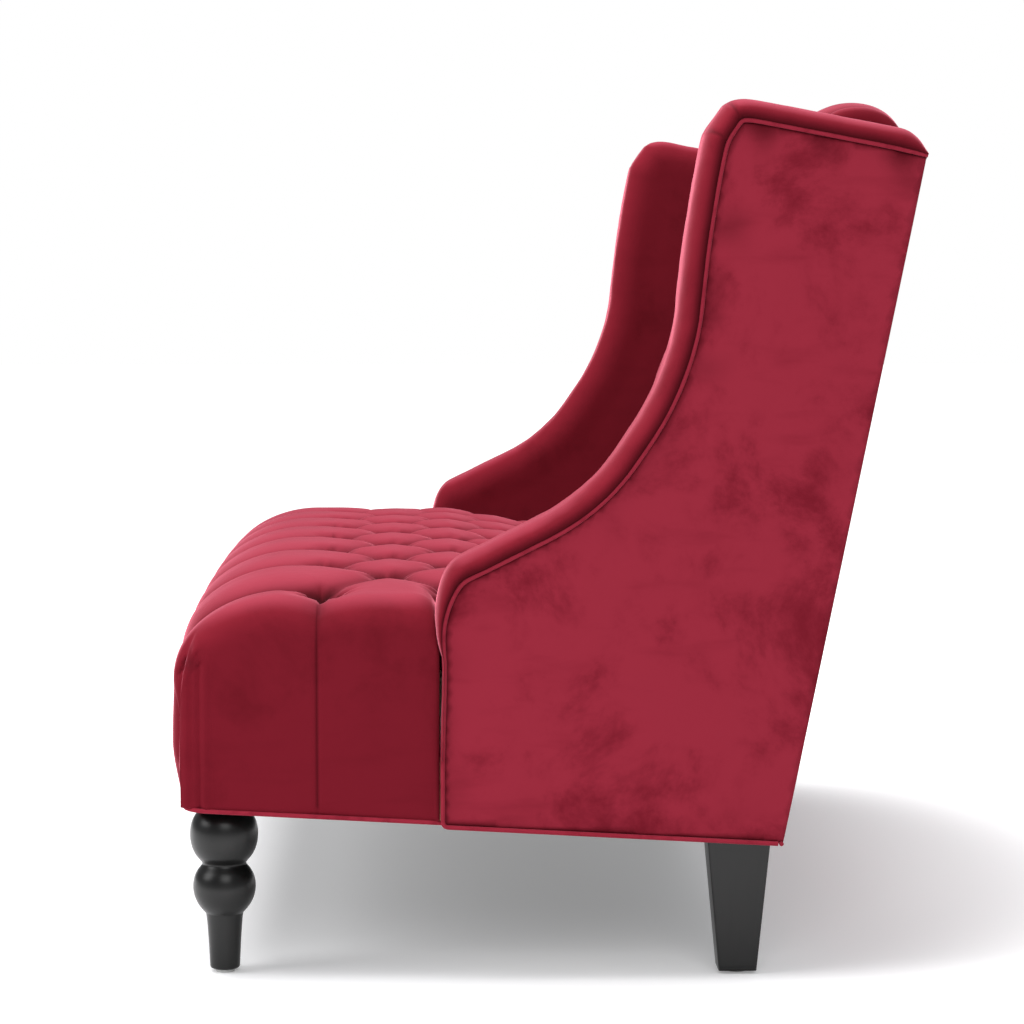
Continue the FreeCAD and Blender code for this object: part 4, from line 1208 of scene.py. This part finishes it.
def make_panel():
    """The panel's crowned face, its turned edge and its flat back."""
    outline, held = panel_outline(under_piping)
    plan, triangles, ring = filled(outline, 0.0085, 0.003)
    near = edge_distance(plan, held, closed=False)
    crown = 0.0016 * smoothstep(0.0, 0.09, near) - 0.0022 * (1.0 - smoothstep(0.0, 0.010, near))
    ripple = 0.0004 * wrinkle(np.c_[plan, np.zeros(len(plan))], 8.0, 21)
    face = np.c_[panel_x - 0.0008 + crown + ripple, plan]
    rear = np.c_[np.full(ring, panel_x - 0.0008 - panel_thick), plan[:ring]]
    back = list(range(len(plan), len(plan) + ring))
    faces = triangles + ring_faces(list(range(ring)), back) + [tuple(back)]
    # Painted shade near the piping, in patches, stronger high up, and darkest in the dip beside it.
    shade_patches = 0.5 + 0.5 * wrinkle(np.c_[plan, np.zeros(len(plan))], 21.0, 33)
    upper = smoothstep(0.55, 0.95, plan[:, 1])
    brushed_pile_and_shade = (0.20 + 0.65 * upper) * (1.0 - smoothstep(0.004, 0.060, near)) * smoothstep(0.35, 0.85, shade_patches)
    crease_shade = np.maximum(0.6 * (1.0 - smoothstep(0.0, 0.006, near)), brushed_pile_and_shade)
    return np.concatenate([face, rear]), faces, np.concatenate([crease_shade, np.zeros(ring)])


outside_panels = add_pair("outside_cover", make_panel(), velvet_panel, "outside_panel", 0.95)
print("outside panels", len(outside_panels[0].data.polygons), "faces each")

# %% [markdown]
# ## Piping
# Piping is a cord sewn into a strip of the same velvet. It follows a line, so Geometry Nodes draw it: the
# line is a curve, a small circle is swept along it, and the tree has the radius, the number of sides and the
# spacing of the rings as inputs. The result is turned into a plain mesh.

# %% Piping tree
def make_piping_tree():
    """Sweeps a circle along a curve that is divided evenly."""
    tree = bpy.data.node_groups.new("piping", "GeometryNodeTree")
    add_sockets(tree, [
        ("Geometry", "INPUT", "Geometry"), ("Radius", "INPUT", "Float"), ("Sides", "INPUT", "Int"),
        ("Spacing", "INPUT", "Float"), ("Material", "INPUT", "Material"), ("Geometry", "OUTPUT", "Geometry")])
    given = add_node(tree, "NodeGroupInput").outputs
    even = add_node(tree, "GeometryNodeResampleCurve", {
        "Curve": given["Geometry"], "Length": given["Spacing"]}, mode="LENGTH")
    ring = add_node(tree, "GeometryNodeCurvePrimitiveCircle", {
        "Radius": given["Radius"], "Resolution": given["Sides"]})
    sweep = add_node(tree, "GeometryNodeCurveToMesh", {
        "Curve": even.outputs["Curve"], "Profile Curve": ring.outputs["Curve"], "Fill Caps": True})
    smooth = add_node(tree, "GeometryNodeSetShadeSmooth", {"Geometry": sweep.outputs["Mesh"]})
    plain = add_node(tree, "GeometryNodeRealizeInstances", {"Geometry": smooth.outputs["Geometry"]})
    finish = add_node(tree, "GeometryNodeSetMaterial", {
        "Geometry": plain.outputs["Geometry"], "Material": given["Material"]})
    add_node(tree, "NodeGroupOutput", {"Geometry": finish.outputs["Geometry"]})
    return tree


piping_tree = make_piping_tree()
print("piping tree", len(piping_tree.nodes), "nodes")

# %% Sewing piping along a line
piping_inputs = {"Radius": 0.0026, "Sides": 14, "Spacing": 0.0035, "Material": velvet_piping}


def set_input(modifier, name, value):
    """Sets a modifier's input by its socket's identifier."""
    for item in modifier.node_group.interface.items_tree:
        if item.item_type == "SOCKET" and item.in_out == "INPUT" and item.name == name:
            modifier[item.identifier] = value


def piping(name, line, replaced):
    """Piping along a line of points, as one plain mesh piece."""
    curve = bpy.data.curves.new(name, "CURVE")
    curve.dimensions = "3D"
    spline = curve.splines.new("POLY")
    spline.points.add(len(line) - 1)
    for point, place in zip(spline.points, line):
        point.co = (*place, 1.0)
    path = add_object(name + "_path", curve)
    modifier = path.modifiers.new("piping", "NODES")
    modifier.node_group = piping_tree
    for socket, value in piping_inputs.items():
        set_input(modifier, socket, value)
    mesh = bpy.data.meshes.new_from_object(path.evaluated_get(bpy.context.evaluated_depsgraph_get()))
    mesh.name = name
    bpy.data.objects.remove(path)
    piece = add_object(name, mesh)
    turn_outward(mesh)
    dress(piece, [replaced])
    return piece


# %% Piping round the panels
def side_piping_line(side):
    """From the rear foot along the bottom, round the front corner, up the front and along the seam."""
    corner = np.array([seam[0][0], base_z(seam[0][0]) - panel_drop])
    rear_foot_y = rear_y(base_z(rear_rail_y) - panel_drop) - 0.0065
    rear_foot = np.array([rear_foot_y, base_z(rear_foot_y) - panel_drop])
    bottom_end = corner + np.array([0.006, -0.006 * base_slope])
    front_start = corner + np.array([0.0, 0.006])
    bottom = [p for p in np.linspace(rear_foot, corner, 100) if p[0] > bottom_end[0] + 0.002]
    bend = [bottom_end * (1 - t) ** 2 + corner * 2 * t * (1 - t) + front_start * t ** 2
            for t in np.linspace(0.0, 1.0, 7)]
    front = np.linspace(front_start, seam[0], 24)[1:-1]
    return [(side * panel_x, py, pz) for py, pz in bottom + bend + list(front) + list(seam)]


side_piping = [piping("side_piping" + side, side_piping_line(sign), "side_welt" + side)
               for side, sign in both_sides]
print("side piping", len(side_piping[0].data.polygons), "faces each")

# %% Piping under the seat
def seat_piping_line():
    """From the left arm's front, round the seat's two front corners, to the right arm's front."""
    x = seat_side - 0.0030
    y = seat_front_y + 0.0115
    r = corner_round - 0.002
    quarter = np.linspace(0.0, 0.5 * math.pi, 12)[1:]
    rear = ear_rear_y + 0.002
    line = [(-x, yy) for yy in np.linspace(rear, y + r, 70)]
    line += [(-x + r - r * math.cos(a), y + r - r * math.sin(a)) for a in quarter]
    line += [(xx, y) for xx in np.linspace(-x + r, x - r, 240)[1:]]
    line += [(x - r + r * math.sin(a), y + r - r * math.cos(a)) for a in quarter]
    line += [(x, yy) for yy in np.linspace(y + r, rear, 70)[1:]]
    return [(px, py, base_z(py) - 0.0015) for px, py in line]


seat_piping = piping("seat_piping", seat_piping_line(), "seat_welt")

# %% Piping along the foot of the back
low_box, high_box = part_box("back_welt")
back_y = 0.5 * (low_box[1] + high_box[1])
back_z = 0.5 * (low_box[2] + high_box[2])
back_line = [(x, back_y, back_z) for x in np.linspace(low_box[0], high_box[0], 260)]
back_piping = piping("back_piping", back_line, "back_welt")
print("seat and back piping", len(seat_piping.data.polygons), len(back_piping.data.polygons), "faces")

# %% [markdown]
# ## Outside back
# A flat panel, the same cloth over thin board, leaning with the back posts.

# %% Outside back
outside_back_side = 0.6290
outside_back_thick = 0.0057


def make_outside_back():
    """A grid that is crowned a little, with its edges turned in to a flat front."""
    top_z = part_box("outside_back")[1][2]
    foot_z = base_z(rear_rail_y) - panel_drop + 0.0028
    columns, rows = 150, 96
    xs = np.linspace(-outside_back_side, outside_back_side, columns)
    zs = np.linspace(foot_z, top_z, rows)
    lean = math.atan(back_rake)
    front, rear = [], []
    for z in zs:
        for x in xs:
            edge = min(x - xs[0], xs[-1] - x, z - zs[0], zs[-1] - z)
            lift = 0.0016 * float(smoothstep(0.0, 0.12, np.array(edge)))
            lift -= 0.0030 * max(0.0, 1.0 - edge / 0.006) ** 2
            lift += 0.0004 * noise.noise(Vector((x, 0.0, z)) * 7.0)
            rear.append((x, rear_y(z) + math.cos(lean) * lift, z - math.sin(lean) * lift))
            front.append((x, rear_y(z) - outside_back_thick, z))
    count = rows * columns
    faces = grid_faces(rows, columns) + [tuple(reversed(f)) for f in grid_faces(rows, columns, count)]
    border = [j for j in range(columns)] + [i * columns + columns - 1 for i in range(1, rows)]
    border += [(rows - 1) * columns + j for j in range(columns - 2, -1, -1)]
    border += [i * columns for i in range(rows - 2, 0, -1)]
    faces += ring_faces(border, [count + k for k in border])
    return rear + front, faces, np.zeros(2 * count)


outside_back = add_padded("outside_back_cover", *make_outside_back(), velvet_panel, ["outside_back"], 0.95)
print("outside back", len(outside_back.data.polygons), "faces")

# %% [markdown]
# ## Legs
# The front legs are turned, so a profile is spun about the leg's axis in mesh code. The rear legs are sawn
# square and taper to the foot, with their edges eased. Both keep the places of the CAD legs.

# %% Front legs
front_leg_place = (0.570, -0.373)
front_leg_sides = 64
seat_gap = 0.0008
leg_profile = [
    (0.0150, 0.0040), (0.0172, 0.0060), (0.0176, 0.0120), (0.0190, 0.0400),
    (0.0205, 0.0600), (0.0215, 0.0680), (0.0224, 0.0700), (0.0262, 0.0742), (0.0310, 0.0810),
    (0.0345, 0.0890), (0.0361, 0.0970), (0.0361, 0.1040), (0.0345, 0.1120), (0.0315, 0.1185),
    (0.0280, 0.1232), (0.0258, 0.1262), (0.0256, 0.1285), (0.0280, 0.1318), (0.0325, 0.1372),
    (0.0365, 0.1450), (0.0388, 0.1540), (0.0394, 0.1620), (0.0388, 0.1700), (0.0368, 0.1775),
    (0.0335, 0.1840), (0.0300, 0.1885)]


def smooth_profile(profile, extra):
    """Points of a profile with more between them, on a smooth curve through all."""
    places = np.array(profile)
    out = []
    for k in range(len(places) - 1):
        p0 = places[max(k - 1, 0)]
        p1, p2 = places[k], places[k + 1]
        p3 = places[min(k + 2, len(places) - 1)]
        for t in np.linspace(0.0, 1.0, extra, endpoint=False):
            out.append(0.5 * (2 * p1 + (p2 - p0) * t + (2 * p0 - 5 * p1 + 4 * p2 - p3) * t ** 2
                              + (3 * p1 - p0 - 3 * p2 + p3) * t ** 3))
    out.append(places[-1])
    return np.array(out)


def stack_faces(rings, sides, start):
    """Faces of a stack of closed rings, with both ends filled."""
    last = start + (rings - 1) * sides
    return grid_faces(rings, sides, start, closed=True) + [
        tuple(start + k for k in reversed(range(sides))), tuple(last + k for k in range(sides))]


def make_front_legs():
    rings = smooth_profile(leg_profile, 3)
    points, faces = [], []
    for side in (1.0, -1.0):
        start = len(points)
        for radius, z in rings:
            for k in range(front_leg_sides):
                angle = 2.0 * math.pi * k / front_leg_sides
                x = side * front_leg_place[0] + radius * math.cos(angle)
                y = front_leg_place[1] + radius * math.sin(angle)
                points.append((x, y, min(z, base_z(y) - seat_gap)))
        faces += stack_faces(len(rings), front_leg_sides, start)
    return points, faces


front_legs = add_hard("front_legs_turned", *make_front_legs(), lacquer, "black_lacquer", ["front_legs"])

# %% Rear legs
rear_leg_place = (0.585, 0.221)
rear_leg_foot = 0.044
rear_leg_top = (0.060, 0.074)
rear_leg_low_z = 0.004
rear_leg_ease = 0.0030
rear_leg_rings = 24


def make_rear_legs():
    points, faces = [], []
    for side in (1.0, -1.0):
        start = len(points)
        for t in np.linspace(0.0, 1.0, rear_leg_rings):
            half_x, half_y = ((rear_leg_foot + (top - rear_leg_foot) * t) / 2 for top in rear_leg_top)
            for corner, (cx, cy) in enumerate(((1, 1), (-1, 1), (-1, -1), (1, -1))):
                for k in range(5):
                    angle = math.radians(90.0 * corner + 90.0 * k / 4.0)
                    off_x = cx * (half_x - rear_leg_ease) + rear_leg_ease * math.cos(angle)
                    off_y = cy * (half_y - rear_leg_ease) + rear_leg_ease * math.sin(angle)
                    x, y = side * rear_leg_place[0] + off_x, rear_leg_place[1] + off_y
                    points.append((x, y, rear_leg_low_z + (base_z(y) - seat_gap - rear_leg_low_z) * t))
        faces += stack_faces(rear_leg_rings, 20, start)
    return points, faces


rear_legs = add_hard("rear_legs_tapered", *make_rear_legs(), lacquer, "black_lacquer", ["rear_legs"])
print("legs", len(front_legs.data.polygons), len(rear_legs.data.polygons))
